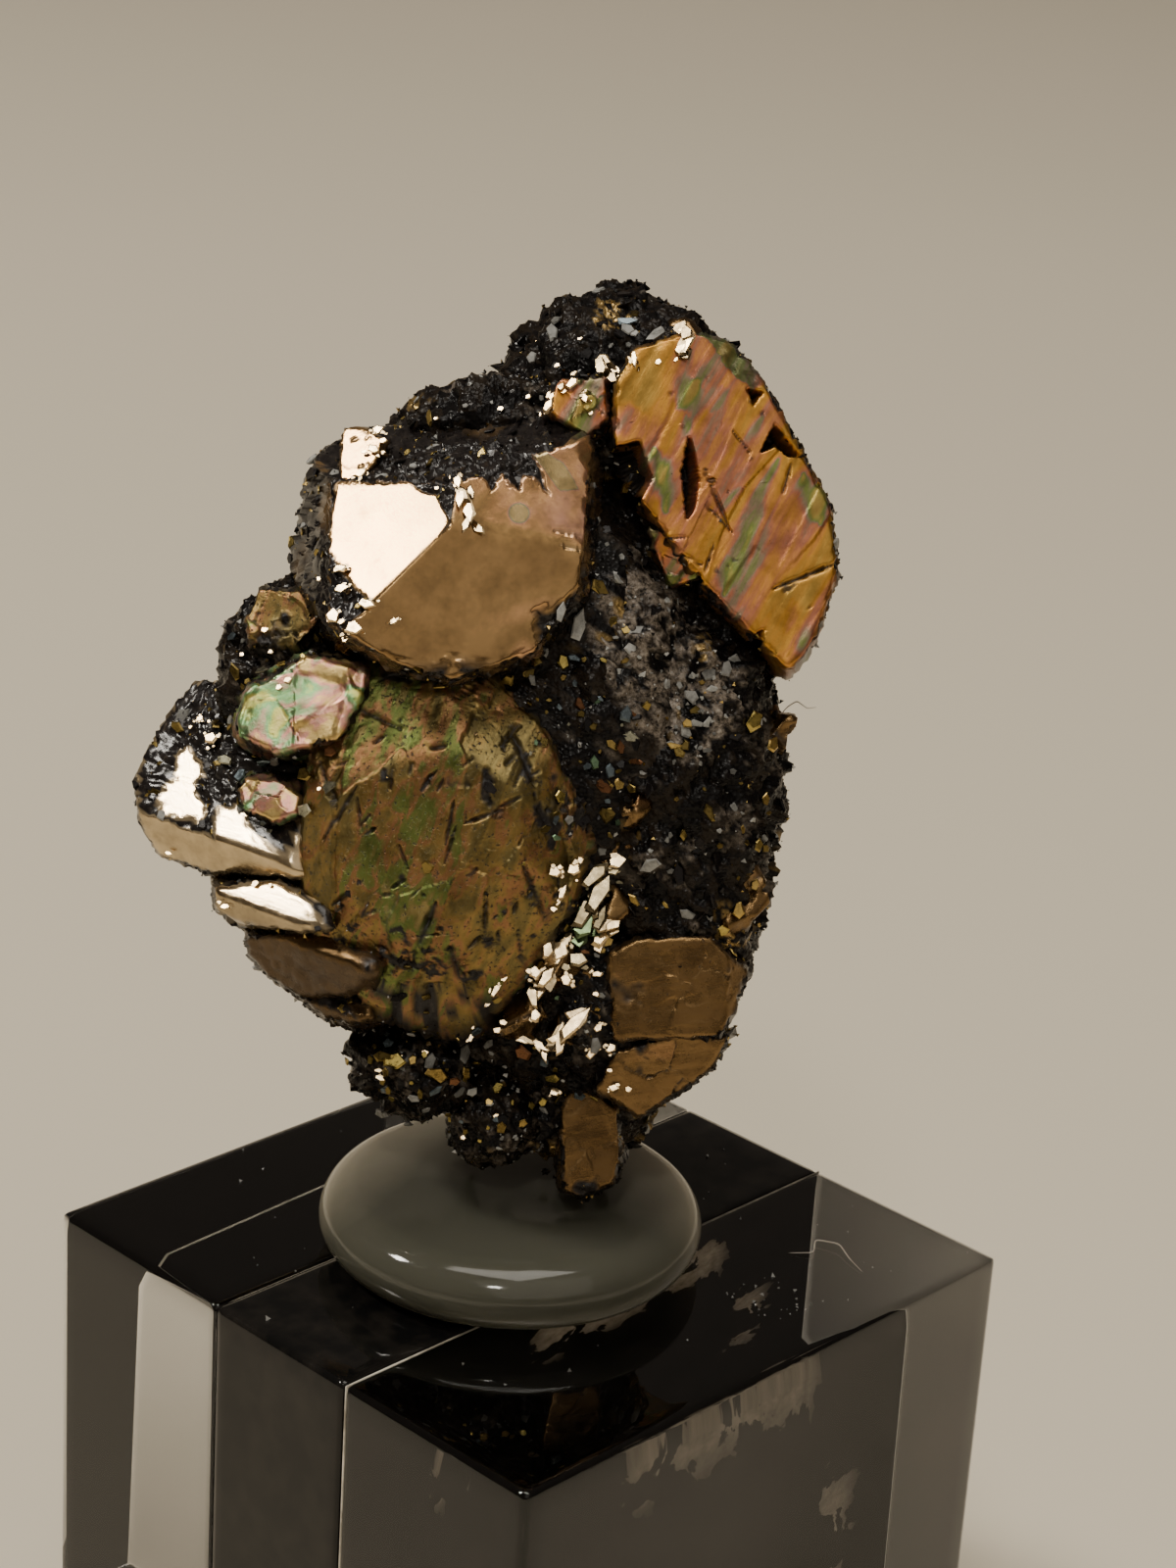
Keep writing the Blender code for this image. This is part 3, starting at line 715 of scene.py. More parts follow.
def front_crystal(finish):
    """The wide olive crystal: low overlapping plates, steep streaks and many short dark cracks."""
    outline = [
        (-6.7, 2.8), (-3.9, 4.1), (0.0, 3.9), (2.8, 0.8), (4.8, -3.5), (3.9, -6.5), (1.6, -9.8),
        (-0.8, -12.0), (-4.7, -11.1), (-7.3, -7.9), (-7.9, -4.7), (-7.5, -0.8),
    ]
    faces = [
        ((-1.9, -3.4, 5.2), (-5, -8)),
        ((-2.7, 0.8, 5.0), (-12, 18)),
        ((-1.1, -8.7, 4.0), (0, -35)),
        ((3.4, -3.4, 3.9), (38, -5)),
        ((-6.3, -4.0, 4.3), (-35, -8)),
        ((0.6, 1.4, 4.5), (16, 24)),
        ((-4.9, -7.6, 3.9), (-22, -24)),
        ((1.7, -6.6, 4.1), (20, -26)),
        ((-5.2, 0.6, 4.6), (-30, 14)),
    ]
    cracks = [
        ((-1.95, -6.15), (-2.63, -7.83), 0.17), ((-4.99, -1.65), (-6.33, -3.79), 0.10),
        ((-6.56, -0.53), (-5.77, -2.55), 0.09), ((-2.5, -1.9), (-2.06, -1.2), 0.12),
        ((-2.18, -0.19), (-1.5, -0.08), 0.10), ((-0.83, -3.1), (0.63, -2.55), 0.09),
        ((-4.54, -6.15), (-4.87, -6.71), 0.07), ((-4.87, -6.71), (-4.2, -6.4), 0.07),
        ((0.07, -6.03), (-0.04, -7.38), 0.07), ((-2.74, -7.94), (-3.07, -9.5), 0.04),
        ((-1.39, -8.06), (-1.05, -9.29), 0.16), ((-0.15, -7.5), (-0.72, -8.06), 0.07),
        ((-1.6, 3.2), (0.3, 2.95), 0.10), ((-2.96, -7.5), (-1.39, -7.38), 0.03),
        ((1.4, -4.6), (2.3, -6.9), 0.09), ((-3.4, -3.9), (-3.0, -4.9), 0.05),
        ((-6.0, 1.8), (-3.4, 0.6), 0.08), ((1.0, 0.4), (1.9, -1.6), 0.14),
    ]
    tints = [
        ((0.1, 2.1), (0.2, 1.6), 0.5, 0.12), ((-4.5, -3.0), (-3.9, -5.9), 0.45, 0.28),
        ((-2.4, -6.2), (-2.6, -7.4), 0.5, 0.30), ((-3.7, -6.2), (-3.5, -7.0), 0.4, 0.10),
        ((0.3, -6.0), (0.5, -6.9), 0.6, 0.08), ((-2.9, -1.4), (-3.6, -2.6), 0.5, 0.26),
        ((-0.6, -4.6), (-1.2, -6.0), 0.5, 0.24), ((-5.4, -4.0), (-5.9, -4.4), 0.4, 0.08),
    ]
    # Short cracks strewn over the face: middles, lean, half lengths and widths
    count = 46
    middle = np.stack([-7.0 + 10.4 * draws(count, 701), -10.6 + 13.4 * draws(count, 702)], -1)
    lean = np.radians(62 + 70 * (draws(count, 703) - 0.5))
    reach = 0.25 + 0.75 * draws(count, 704) ** 2
    half = reach[:, None] * np.stack([np.cos(lean), np.sin(lean)], -1)
    cracks += list(zip(middle - half, middle + half, 0.03 + 0.05 * draws(count, 705)))
    slope = math.radians(68)
    along = np.array([math.cos(slope), math.sin(slope), 0])

    def relief(points, normals):
        drawn = points - (points @ along)[..., None] * along * 0.6
        warped = drawn + 0.12 * swell(points, 0.9, 50, 2)[..., None]
        plates, number, border = flakes(warped, 2.3, 51, 0.03, 0.11)
        fine = flakes(points, 0.7, 55, 0.006, 0.03)[0]
        split = np.clip(sum(gash(points, *line) for line in cracks), 0, 1)
        seam = 0.7 * np.exp(-((border / 0.04) ** 2)) * (number > 0.8)
        seam = seam * (swell(points, 1.2, 56, 2) > 0)
        height = plates + fine + 0.02 * swell(points, 2.4, 53, 3)
        crust = np.clip((swell(points, 1.3, 57, 4) - 0.32) * 10, 0, 1)
        slanted = points[..., 0] - 2.0 + 0.35 * points[..., 1]
        torn = swell(points, 0.5, 59, 4) + 0.6 * swell(points, 1.7, 58, 3)
        edgeward = np.clip((torn - 0.24 + 0.22 * slanted) * 12, 0, 1)
        low = swell(points, 0.45, 61, 4) - 0.25 + 0.09 * (-7.5 - points[..., 1])
        low = np.clip(low * 14, 0, 1)
        upper = np.clip((points[..., 1] - 2.3) * 1.2, 0, 1)
        upper = upper * np.clip((swell(points, 0.9, 60, 3) + 0.2) * 4, 0, 1)
        dark = np.clip(np.maximum.reduce([split, 0.8 * seam, crust, edgeward, upper, low]), 0, 1)
        height = height - 0.13 * split - 0.04 * seam
        film = 0.30 * (number - 0.5) + 0.10 * swell(points, 3.5, 63, 2)
        film = film + sum(lift * gash(points, a, b, w) for a, b, w, lift in tints)
        return height, dark, film

    crystal("front_crystal", outline, 0, -7, faces, finish, relief,
            rows=150, columns=300, depth=1.0, seed=3)


def left_steps(bright, dull):
    """The stepped plates at the left, each a lit ledge over its riser, with rounded noses. Each
    riser is darkened by its own share, as painted shade.
    """
    steps = [
        (
            [
                (-14.4, -1.5), (-13.7, 0.6), (-12.3, 3.0), (-9.9, 2.6), (-5.5, -0.8), (-4.4, -4.8),
                (-6.7, -6.0), (-11.3, -5.3), (-13.5, -4.4), (-14.2, -3.2),
            ],
            [
                ((-12.4, -1.2, 0.0), LIT), ((-10.2, -3.95, 2.35), RISER),
                ((-7.0, -2.5, 2.9), (30, 10)),
            ],
        ),
        (
            [
                (-11.3, -5.3), (-8.3, -4.8), (-5.5, -5.7), (-5.1, -7.9), (-7.5, -8.1),
                (-10.1, -7.4), (-11.2, -6.7),
            ],
            [((-9.0, -6.4, 3.0), LIT), ((-9.0, -6.6, 3.0), RISER)],
        ),
        (
            [
                (-10.0, -7.3), (-6.7, -6.7), (-3.2, -7.9), (-3.6, -9.9), (-5.4, -10.5),
                (-7.5, -10.4), (-8.9, -9.5), (-9.8, -8.5),
            ],
            [((-7.0, -8.0, 3.4), LIT), ((-7.0, -8.1, 3.4), RISER)],
        ),
        (
            [
                (-7.9, -10.1), (-6.4, -9.3), (-4.0, -9.7), (-4.0, -11.3), (-5.5, -11.6),
                (-6.9, -11.0),
            ],
            [((-5.6, -10.6, 2.4), LIT), ((-5.6, -10.9, 2.3), RISER)],
        ),
    ]
    lit_patches = [
        [
            [(-12.6, -0.2), (-12.1, -0.1), (-11.8, -0.54), (-11.5, -0.76), (-11.4, -1.28),
             (-11.8, -1.45), (-11.7, -2.0), (-11.3, -2.5), (-11.2, -2.93), (-11.45, -3.22),
             (-11.9, -2.93), (-12.25, -3.05), (-12.8, -2.82), (-13.3, -2.59), (-13.2, -1.9),
             (-12.9, -1.56), (-12.6, -1.34)],
            [(-10.8, -2.5), (-10.0, -2.4), (-9.5, -2.4), (-9.5, -2.93), (-9.28, -3.5),
             (-8.6, -3.96), (-7.8, -4.3), (-7.9, -4.9), (-8.5, -4.8), (-9.5, -4.4), (-10.65, -4.1),
             (-10.9, -3.5)],
        ],
        [
            [(-10.9, -4.9), (-9.2, -4.9), (-8.0, -5.4), (-7.0, -6.2), (-6.4, -7.0), (-7.2, -7.5),
             (-8.8, -7.2), (-10.4, -6.7), (-10.9, -6.0)],
        ],
        [[(-9.0, -7.2), (-7.0, -7.2), (-4.7, -8.1), (-4.8, -8.9), (-7.0, -8.3), (-8.9, -8.0)]],
        [[(-5.6, -10.2), (-4.1, -10.4), (-4.1, -11.0), (-5.0, -10.9)]],
    ]
    # Painted shade: how much each step's riser is darkened, from the first step to the last.
    riser_painted_shades = (0.05, 0.25, 0.50, 0.4)
    rows = zip(steps, lit_patches, riser_painted_shades)
    for number, ((outline, faces), patches, riser_painted_shade) in enumerate(rows, 1):
        def relief(points, normals, seed=70 + number, patches=patches, riser_painted_shade=riser_painted_shade):
            lit = normals @ towards(*LIT) > 0.95
            keep = sum(inside(points, shape, 0.08, 0.07, seed) for shape in patches)
            crust = np.clip((swell(points, 1.3, seed + 20, 4) - 0.2) * 8, 0, 1)
            down = np.clip(-normals[..., 1] * 2, 0, 1)
            riser = np.clip((normals @ towards(*RISER) - 0.9) * 20, 0, 1)
            # The risers are darkened by their share as painted shade; the rest is hematite crust.
            unlit = np.maximum(0.5 * crust * (1 - down), riser * riser_painted_shade)
            dark = np.clip(np.where(lit, 1 - keep, unlit), 0, 1)
            height = 0.02 * swell(points, 2.0, seed, 2) * ~lit
            return height, dark, np.full(dark.shape, -0.15)
        crystal(f"step_{number}", outline, -1.2, -5, faces, bright if number < 3 else dull,
                relief, rows=84, columns=100, depth=0.6, edge=130.0, belt=True, seed=10 + number)


def foot_crystals(finish):
    """The flat brown crystals that step down to the tip at the lower right."""
    feet = [
        ("foot_upper",
         [(4.3, -8.0), (5.9, -7.3), (8.9, -7.3), (10.5, -8.9), (10.1, -10.3), (9.4, -11.9),
          (4.6, -12.1)],
         -1, -6, [((7.0, -9.6, 1.6), (4, -6)), ((9.8, -9.5, 1.0), (50, -5))], 30),
        ("foot_middle",
         [(3.9, -13.9), (4.8, -12.0), (7.5, -11.2), (10.0, -11.5), (9.1, -13.0), (8.1, -13.8),
          (6.0, -15.2)],
         -1.5, -6, [((6.4, -12.8, 0.6), (6, -14))], 38),
        ("foot_tip",
         [(2.4, -14.6), (3.0, -13.5), (3.9, -13.2), (5.5, -14.6), (5.6, -16.8), (5.2, -18.1),
          (3.8, -18.8), (2.6, -18.4)],
         -4.5, -8, [((3.9, -16.0, -1.5), (12, -6))], 55),
        ("foot_ledge",
         [(0.7, -18.4), (0.7, -17.4), (1.5, -16.7), (3.0, -16.5), (3.6, -17.4), (3.3, -18.8),
          (2.2, -18.8)],
         -4.5, -8, [((2.0, -17.6, -1.3), (-4, -14))], 55),
    ]
    for number, (name, outline, level, back, faces, tail) in enumerate(feet):
        def relief(points, normals, seed=90 + 7 * number):
            height, dark, film = plain_relief(seed, 0.01, 0.06, 0.93, 0.0, 0.03)(points, normals)
            lines = swell(points * np.array((0.12, 1, 1)), 0.3, seed + 1, 2)
            return height + 0.016 * lines, dark, film
        crystal(name, outline, level, back, faces, finish, relief, tail=tail,
                rows=60, columns=120, depth=0.8, seed=20 + number)


# Small crystals: outline, level, back, a point of the face and where it looks, the relief's
# seed and settings, and the grid
SMALL_CRYSTALS = {
    "lit_corner": (
        [(-6.0, 10.1), (-5.8, 12.6), (-4.7, 12.5), (-3.9, 12.0), (-4.1, 11.1), (-4.9, 10.0)],
        1.5, -2.5, (-5.1, 11.3, 3.1), LIT, (150, 0.004, 0.03, 0.9, 0.0, 0.0),
        {"lean": 6, "rows": 44, "columns": 84, "edge": 200.0, "seed": 31},
    ),
    "plate_flap": (
        [(5.8, 8.9), (8.8, 8.6), (8.6, 6.4), (7.0, 6.0)],
        0, -4, (7.2, 7.6, 1.9), (-4, -16), (131, 0.02, 0.04, 0.85, 0.15),
        {"rows": 30, "columns": 60},
    ),
    "upper_flake": (
        [(2.0, 12.8), (2.4, 14.5), (4.9, 14.8), (5.0, 12.6), (4.0, 11.6)],
        0.5, -4, (3.5, 13.1, 3.0), (12, 14), (137, 0.02, 0.05, 0.7, 0.2, 0.12),
        {"rows": 40, "columns": 80},
    ),
    "side_flake": (
        [(-9.9, 5.0), (-9.2, 6.4), (-7.2, 6.3), (-6.2, 4.8), (-7.4, 3.5), (-9.4, 3.7)],
        0, -4, (-8.0, 5.0, 2.1), (-14, 14), (151, 0.04, 0.07, 0.45, 0.0, 0.22),
        {"rows": 44, "columns": 88},
    ),
    "patch_upper": (
        [(-10.4, 0.7), (-9.8, 2.5), (-7.1, 4.0), (-3.9, 3.4), (-4.0, 1.9), (-5.2, -0.5),
         (-8.1, -1.1), (-10.1, -0.3)],
        0, -4, (-7.3, 1.5, 4.8), (0, 10), (120, 0.02, 0.05, 0.75, 0.03, 0.14),
        {"rows": 52, "columns": 110},
    ),
    "patch_lower": (
        [(-10.3, -1.6), (-9.6, -0.9), (-8.0, -0.9), (-6.7, -1.8), (-6.9, -3.2), (-8.4, -3.6),
         (-9.9, -2.9)],
        0, -4, (-8.6, -2.1, 3.7), (-2, 9), (127, 0.02, 0.05, 0.70, 0.05, 0.14),
        {"rows": 40, "columns": 84},
    ),
}


def small_crystal(name, finish):
    """One of the small crystals, with a plain relief: the lit one on the big crystal's top corner,
    the flap at the plate's broken inner corner, the brown flakes and the bright patches."""
    outline, level, back, point, look, relief, grid = SMALL_CRYSTALS[name]
    crystal(name, outline, level, back, [(point, look)], finish, plain_relief(*relief),
            depth=0.6, **grid)


def chip_flats(centre, size, seed):
    """Normals and offsets of a small broken crystal: a lit face, and eleven at uneven distances
    spread evenly round it."""
    count = 11
    number = np.arange(count)
    height = 1 - 2 * (number + 0.5) / count
    far = pair_draws(number, 1, seed)
    turn = number * 2.4 + draws(count, seed) - 0.5
    wide = np.sqrt(1 - height ** 2)
    normals = np.stack([wide * np.cos(turn), wide * np.sin(turn), height], -1)
    reach = size * (0.7 + 0.45 * far)
    normals = np.concatenate([towards(*LIT)[None], normals])
    reach = np.concatenate([[size * 0.75], reach])
    return normals, normals @ centre + reach


def plain_skin(name, points, out, soil, finish, relief):
    """A skin raised by a plain relief, with a share of soil in its dark places."""
    height, dark, film = plain_relief(*relief)(points, out)
    sow(points, out, soil * np.clip(dark - 0.3, 0, 1), 0.1, 0.2)
    stone_piece(name, points + out * height[..., None], finish, {"dark": dark, "film": film})


def gold_bits(finish):
    """The gold chips along the valleys and on the rims."""
    bits = [
        ((4.5, -6.4, 1.2), 1.3), ((2.9, -8.7, 1.0), 1.5), ((3.5, -11.0, 0.6), 1.4),
        ((4.9, -4.2, 2.0), 1.1), ((5.5, -2.4, 2.4), 0.9), ((1.2, -10.7, 1.3), 1.2),
        ((-5.3, 4.2, 3.2), 1.1), ((3.7, 14.0, 1.0), 1.3), ((5.3, 15.4, 0.6), 1.2),
        ((8.0, 16.0, 0.4), 1.1), ((11.1, 0.6, -0.6), 1.3), ((9.9, -6.1, 0.0), 1.4),
    ]
    for number, (centre, size) in enumerate(bits, 1):
        centre = np.array(centre)
        normals, offsets = chip_flats(centre, 0.78 * size, number)
        points, out, _ = cut_skin(normals, offsets, centre, looks(24, 48, 0.6, 70), 60.0)
        plain_skin(f"gold_bit_{number}", points, out, 0.0, finish,
                   (140 + number, 0.02, 0.05, 0.6, 0.1, 0.25))


def back_crystals(finish):
    """The twelve-faced crystals of the side away from the viewer."""
    places = [
        ((-2.2, 6.4, -5.2), 3.9, (18, 35, 12)),
        ((5.4, -2.6, -7.4), 5.2, (-20, 22, 40)),
        ((-4.4, -4.2, -5.2), 4.4, (30, -15, 25)),
        ((6.6, 9.4, -5.4), 3.8, (10, 48, -18)),
        ((1.6, -9.4, -5.8), 3.8, (-12, 18, 62)),
    ]
    base = np.array([np.roll((0, one, two), axis)
                     for axis in range(3) for one in (-1, 1) for two in (-2, 2)]) / math.sqrt(5)
    ways = (looks(44, 88, 0.5, 80) * np.array((1, 1, -1)))[:, ::-1]
    for number, (centre, size, turns) in enumerate(places, 1):
        spin = np.array(Euler([math.radians(a) for a in turns]).to_matrix())
        normals = base @ spin.T
        centre = np.array(centre)
        points, out, _ = cut_skin(normals, normals @ centre + size, centre, ways)
        plain_skin(f"back_crystal_{number}", points, out, 1.0, finish,
                   (160 + number, 0.02, 0.06, 0.7))


def mass_points(centre, radii, rough, seed, rows, columns):
    """A crumbly mass: a stretched ball with knobs, then broken flats of three sizes. Returns its
    points, the directions outward and the random numbers of the small and the tiny flats."""
    ways = belt_looks(rows, columns)
    reach = 1 + rough * 0.8 * swell(ways * 3.0, 1.3, seed, 2)
    points = np.array(centre) + ways * np.array(radii) * reach[..., None]
    big = flakes(points, 1.5, seed + 1, 0.16, 0.30)[0]
    small, grain, _ = flakes(points, 0.6, seed + 2, 0.07, 0.34)
    tiny, speck, _ = flakes(points, 0.26, seed + 3, 0.022, 0.30)
    out = ways / np.array(radii)
    out /= np.linalg.norm(out, axis=-1, keepdims=True)
    return points + out * (big + small + tiny)[..., None], out, grain, speck


# The ash-brown cloud below the plate, as seen from the show side
SMOKE = [(4.4, 7.0), (6.4, 6.6), (8.2, 5.2), (9.6, 2.8), (9.8, 0.4), (8.6, -0.7), (6.6, -0.4),
         (5.0, 1.4), (4.2, 3.8)]


def hematite_masses(finish):
    """The black crumbly masses, with ash-grey grains on the right one and at the top. Each row is
    the name, the centre, the radii, the roughness, the seed, the points' spacing and the ash."""
    masses = [
        ("stone_core", (0.8, 0.5, -3.3), (9.0, 13.6, 7.1), 0.15, 1, 0.34, -0.3),
        ("top_mass", (5.2, 14.2, -3.5), (5.1, 4.2, 5.6), 0.14, 3, 0.145, -0.42),
        ("slope_mass", (0.5, 12.9, -2.0), (4.3, 2.1, 3.2), 0.14, 35, 0.13, -0.3),
        ("top_knob", (4.9, 18.1, -2.6), (0.7, 0.7, 0.7), 0.2, 4, 0.10, -0.3),
        ("right_mass", (7.5, -1.3, -2.5), (4.4, 9.6, 5.4), 0.13, 7, 0.15, -0.22),
        ("middle_mass", (4.2, 2.6, -2.4), (4.6, 7.0, 5.6), 0.2, 23, 0.165, -0.3),
        ("valley_mass", (3.6, -9.0, -2.8), (4.6, 5.0, 4.6), 0.2, 27, 0.165, -0.3),
        ("neck_mass", (3.2, -13.4, -4.7), (4.0, 3.6, 3.2), 0.2, 31, 0.16, -0.05),
        ("left_mass", (-7.6, 2.6, -1.9), (3.4, 4.3, 3.7), 0.2, 11, 0.15, -0.3),
        ("low_mass", (-3.2, -13.0, -2.6), (2.7, 2.0, 3.4), 0.24, 15, 0.13, -0.05),
        ("tip_mass", (0.2, -15.0, -4.0), (2.2, 2.2, 3.0), 0.24, 19, 0.13, 0.0),
    ]
    for name, centre, radii, rough, seed, spacing, ashy in masses:
        rows = math.ceil(math.pi * radii[1] / spacing)
        columns = math.ceil(0.65 * math.pi * (radii[0] + radii[2]) / spacing)
        points, out, grain, speck = mass_points(centre, radii, rough, seed, rows, columns)
        smoke = inside(points, SMOKE, 0.8, 0.8, 45)
        patch = swell(points, 1.6, seed + 5, 3) + ashy + 0.75 * smoke
        grey = np.clip((patch + 0.7 * (speck - 0.5)) * 4, 0, 1) * (grain > 0.35)
        gilt = np.clip((swell(points, 2.4, seed + 8, 2) - 0.3) * 5, 0, 1) * (speck > 0.72)
        sow(points, out, 1.0, np.clip(0.22 + patch, 0.03, 0.85), 0.045)
        stone_piece(name, points, finish, {
            "grain": grain * 0.5, "grey": grey * (0.5 + 0.45 * smoke), "gilt": gilt,
        })


# Crumbs and bits

# Tints of the small bits, each with its share of metal
TINTS = {
    "lit": ((0.80, 0.60, 0.34), 1.0), "lit_pale": ((0.30, 0.24, 0.14), 1.0),
    "lit_green": ((0.16, 0.22, 0.11), 1.0), "gold": ((0.55, 0.38, 0.12), 1.0),
    "yellow": ((0.62, 0.48, 0.14), 1.0), "grey": ((0.34, 0.34, 0.32), 0.0),
    "ash": ((0.42, 0.42, 0.40), 0.0), "blue": ((0.20, 0.25, 0.28), 0.6),
    "pale": ((0.50, 0.48, 0.34), 0.8), "green": ((0.25, 0.40, 0.24), 0.9),
    "brown": ((0.20, 0.09, 0.04), 0.7), "black": ((0.010, 0.008, 0.008), 0.0),
    "olive": ((0.30, 0.22, 0.07), 1.0),
}

# First seeds of the random draws
CRUMB_SEED = 400
BIT_SEED = 450
GRIT_SEED = 500
DUST_SEED = 600
FRAGMENT_SEED = 800


def tinted_mesh(name, places, faces, tints, shine, finish):
    """Many small bits as one mesh, with the tint and the shine of each bit on all its points."""
    each = len(places) // len(tints)
    made = mesh_piece(name, places, faces, finish, {"shine": np.repeat(shine, each)}, smooth=False)
    layer = made.data.attributes.new("tint", "FLOAT_COLOR", "POINT")
    colour = np.concatenate([np.repeat(tints, each, axis=0), np.ones((len(places), 1))], 1)
    layer.data.foreach_set("color", colour.astype(np.float32).ravel())
    return made


def bits_mesh(name, centres, faces_to, long, wide, spin, tints, shine, finish, seed):
    """Small broken crystals: each has a flat five-sided top that faces its own way, a wider waist
    and a point behind. All are worked out at once."""
    number = np.arange(len(centres))[:, None]
    k = np.arange(5)[None, :]
    n = faces_to / np.linalg.norm(faces_to, axis=-1, keepdims=True)
    u = np.cross(np.array((0.0, 1.0, 0.0)), n)
    u /= np.linalg.norm(u, axis=-1, keepdims=True)
    v = np.cross(n, u)
    u, v = (u * np.cos(spin)[:, None] + v * np.sin(spin)[:, None],
            v * np.cos(spin)[:, None] - u * np.sin(spin)[:, None])
    angle = (k + 0.55 * (pair_draws(number, k, seed) - 0.5)) * math.tau / 5
    top = 0.72 + 0.35 * pair_draws(number, k, seed + 1)
    waist = 0.98 + 0.25 * pair_draws(number, k, seed + 2)
    rings = []
    for ring, lift in ((top, 0.30), (waist, 0.0)):
        x = ring * np.cos(angle) * long[:, None]
        y = ring * np.sin(angle) * wide[:, None]
        z = lift * wide[:, None] + 0 * x
        rings.append(sum(part[..., None] * way[:, None] for part, way in ((x, u), (y, v), (z, n))))
    root = -(0.9 * wide)[:, None, None] * n[:, None]
    points = centres[:, None] + np.concatenate([rings[0], rings[1], root], 1)
    start = number * 11
    after = (k + 1) % 5
    tops = start + k
    sides = np.stack([start + k, start + 5 + k, start + 5 + after, start + after], -1)
    ends = np.stack([start + 5 + k, start + 10 + 0 * k, start + 5 + after], -1)
    on_stone(tinted_mesh(name, to_place(points.reshape(-1, 3)),
                         [tops, sides.reshape(-1, 4), ends.reshape(-1, 3)], tints, shine, finish))


def dark_places(count, seed):
    """Picks places on the sown skins, more of them where it is darker: the points, the normals,
    and how ashy and how gilt it is there."""
    soil = {key: np.concatenate(value) for key, value in SOIL.items()}
    total = np.cumsum(soil["weight"])
    at = np.searchsorted(total, (np.arange(count) + draws(count, seed)) / count * total[-1])
    at = np.clip(at, 0, len(total) - 1)
    return [soil[key][at] for key in ("points", "normals", "ash", "gilt")]


def grain_tints(ash, gilt, names, tone):
    """Tints of grains that are ashy, gilt or else black, each made lighter or darker."""
    ashy, gold, black = (TINTS[name][0] for name in names)
    return np.where(ash[:, None], ashy, np.where(gilt[:, None], gold, black)) * tone[:, None]


def crumb_cover(finish, count=6500):
    """Crumbs on every dark place of the stone, more where it is darker: mostly black, some ash
    grey or gilt, each with its flat turned a little off the skin."""
    points, out, ashy, gilded = dark_places(count, CRUMB_SEED)
    tilt, size, pick, tone, longer, spin = (
        np.stack([draws(count, CRUMB_SEED + k) for k in (1, 2, 3)], -1) * 2 - 1,
        0.08 + 0.20 * draws(count, CRUMB_SEED + 5) ** 3,
        draws(count, CRUMB_SEED + 6),
        0.6 + 0.8 * draws(count, CRUMB_SEED + 7),
        1 + 0.8 * draws(count, CRUMB_SEED + 8),
        draws(count, CRUMB_SEED + 9) * math.tau,
    )
    ash = pick < ashy
    gilt = ~ash & (pick > 1 - gilded)
    tints = grain_tints(ash, gilt, ("grey", "olive", "black"), tone)
    bits_mesh("crumbs", points - out * (0.05 * size)[:, None], out + 0.55 * tilt, size * longer,
              size, spin, tints, gilt * 1.0, finish, CRUMB_SEED + 10)


def grit_mesh(name, centres, size, tints, shine, finish, seed):
    """Grit: uneven four-sided grains, each turned its own way, at places in metres. The first
    corner looks along a random line and the other three stand round it."""
    number = np.arange(len(centres))
    n = pair_draws(number[:, None], np.arange(3), seed) - 0.5
    n /= np.maximum(np.linalg.norm(n, axis=-1, keepdims=True), 1e-3)
    u = np.cross(np.array((0.31, 0.87, 0.38)), n)
    u /= np.maximum(np.linalg.norm(u, axis=-1, keepdims=True), 1e-3)
    v = np.cross(n, u)
    corners = [n]
    for k in range(3):
        turn = (k + 0.5 * draws(len(centres), seed + 10 + k)) * math.tau / 3
        corners.append(-0.35 * n + np.cos(turn)[:, None] * u + np.sin(turn)[:, None] * v)
    uneven = 0.6 + 0.8 * pair_draws(number[:, None], np.arange(4), seed + 20)
    points = centres[:, None] + np.stack(corners, 1) * (size[:, None] * uneven)[..., None]
    sides = np.array([(0, 1, 2), (0, 2, 3), (0, 3, 1), (1, 3, 2)])
    faces = np.concatenate([number[:, None] * 4 + side for side in sides])
    return tinted_mesh(name, points.reshape(-1, 3), [faces], tints, shine, finish)


def grit_cover(finish, count=20000):
    """Fine grit on every dark place of the stone: black, ash grey and gilt."""
    points, _, ashy, gilded = dark_places(count, GRIT_SEED)
    shift = np.stack([draws(count, GRIT_SEED + k) for k in (1, 2, 3)], -1) - 0.5
    size = 0.035 + 0.085 * draws(count, GRIT_SEED + 5) ** 2
    pick = draws(count, GRIT_SEED + 6)
    tone = 0.5 + draws(count, GRIT_SEED + 7)
    ash = pick < 0.06 + 0.55 * ashy
    gilt = ~ash & (pick > 0.90 - 0.4 * gilded)
    tints = grain_tints(ash, gilt, ("ash", "gold", "black"), tone)
    on_stone(grit_mesh("grit", to_place(points + 0.12 * shift), size * MM, tints, gilt * 1.0,
                       finish, GRIT_SEED + 10))


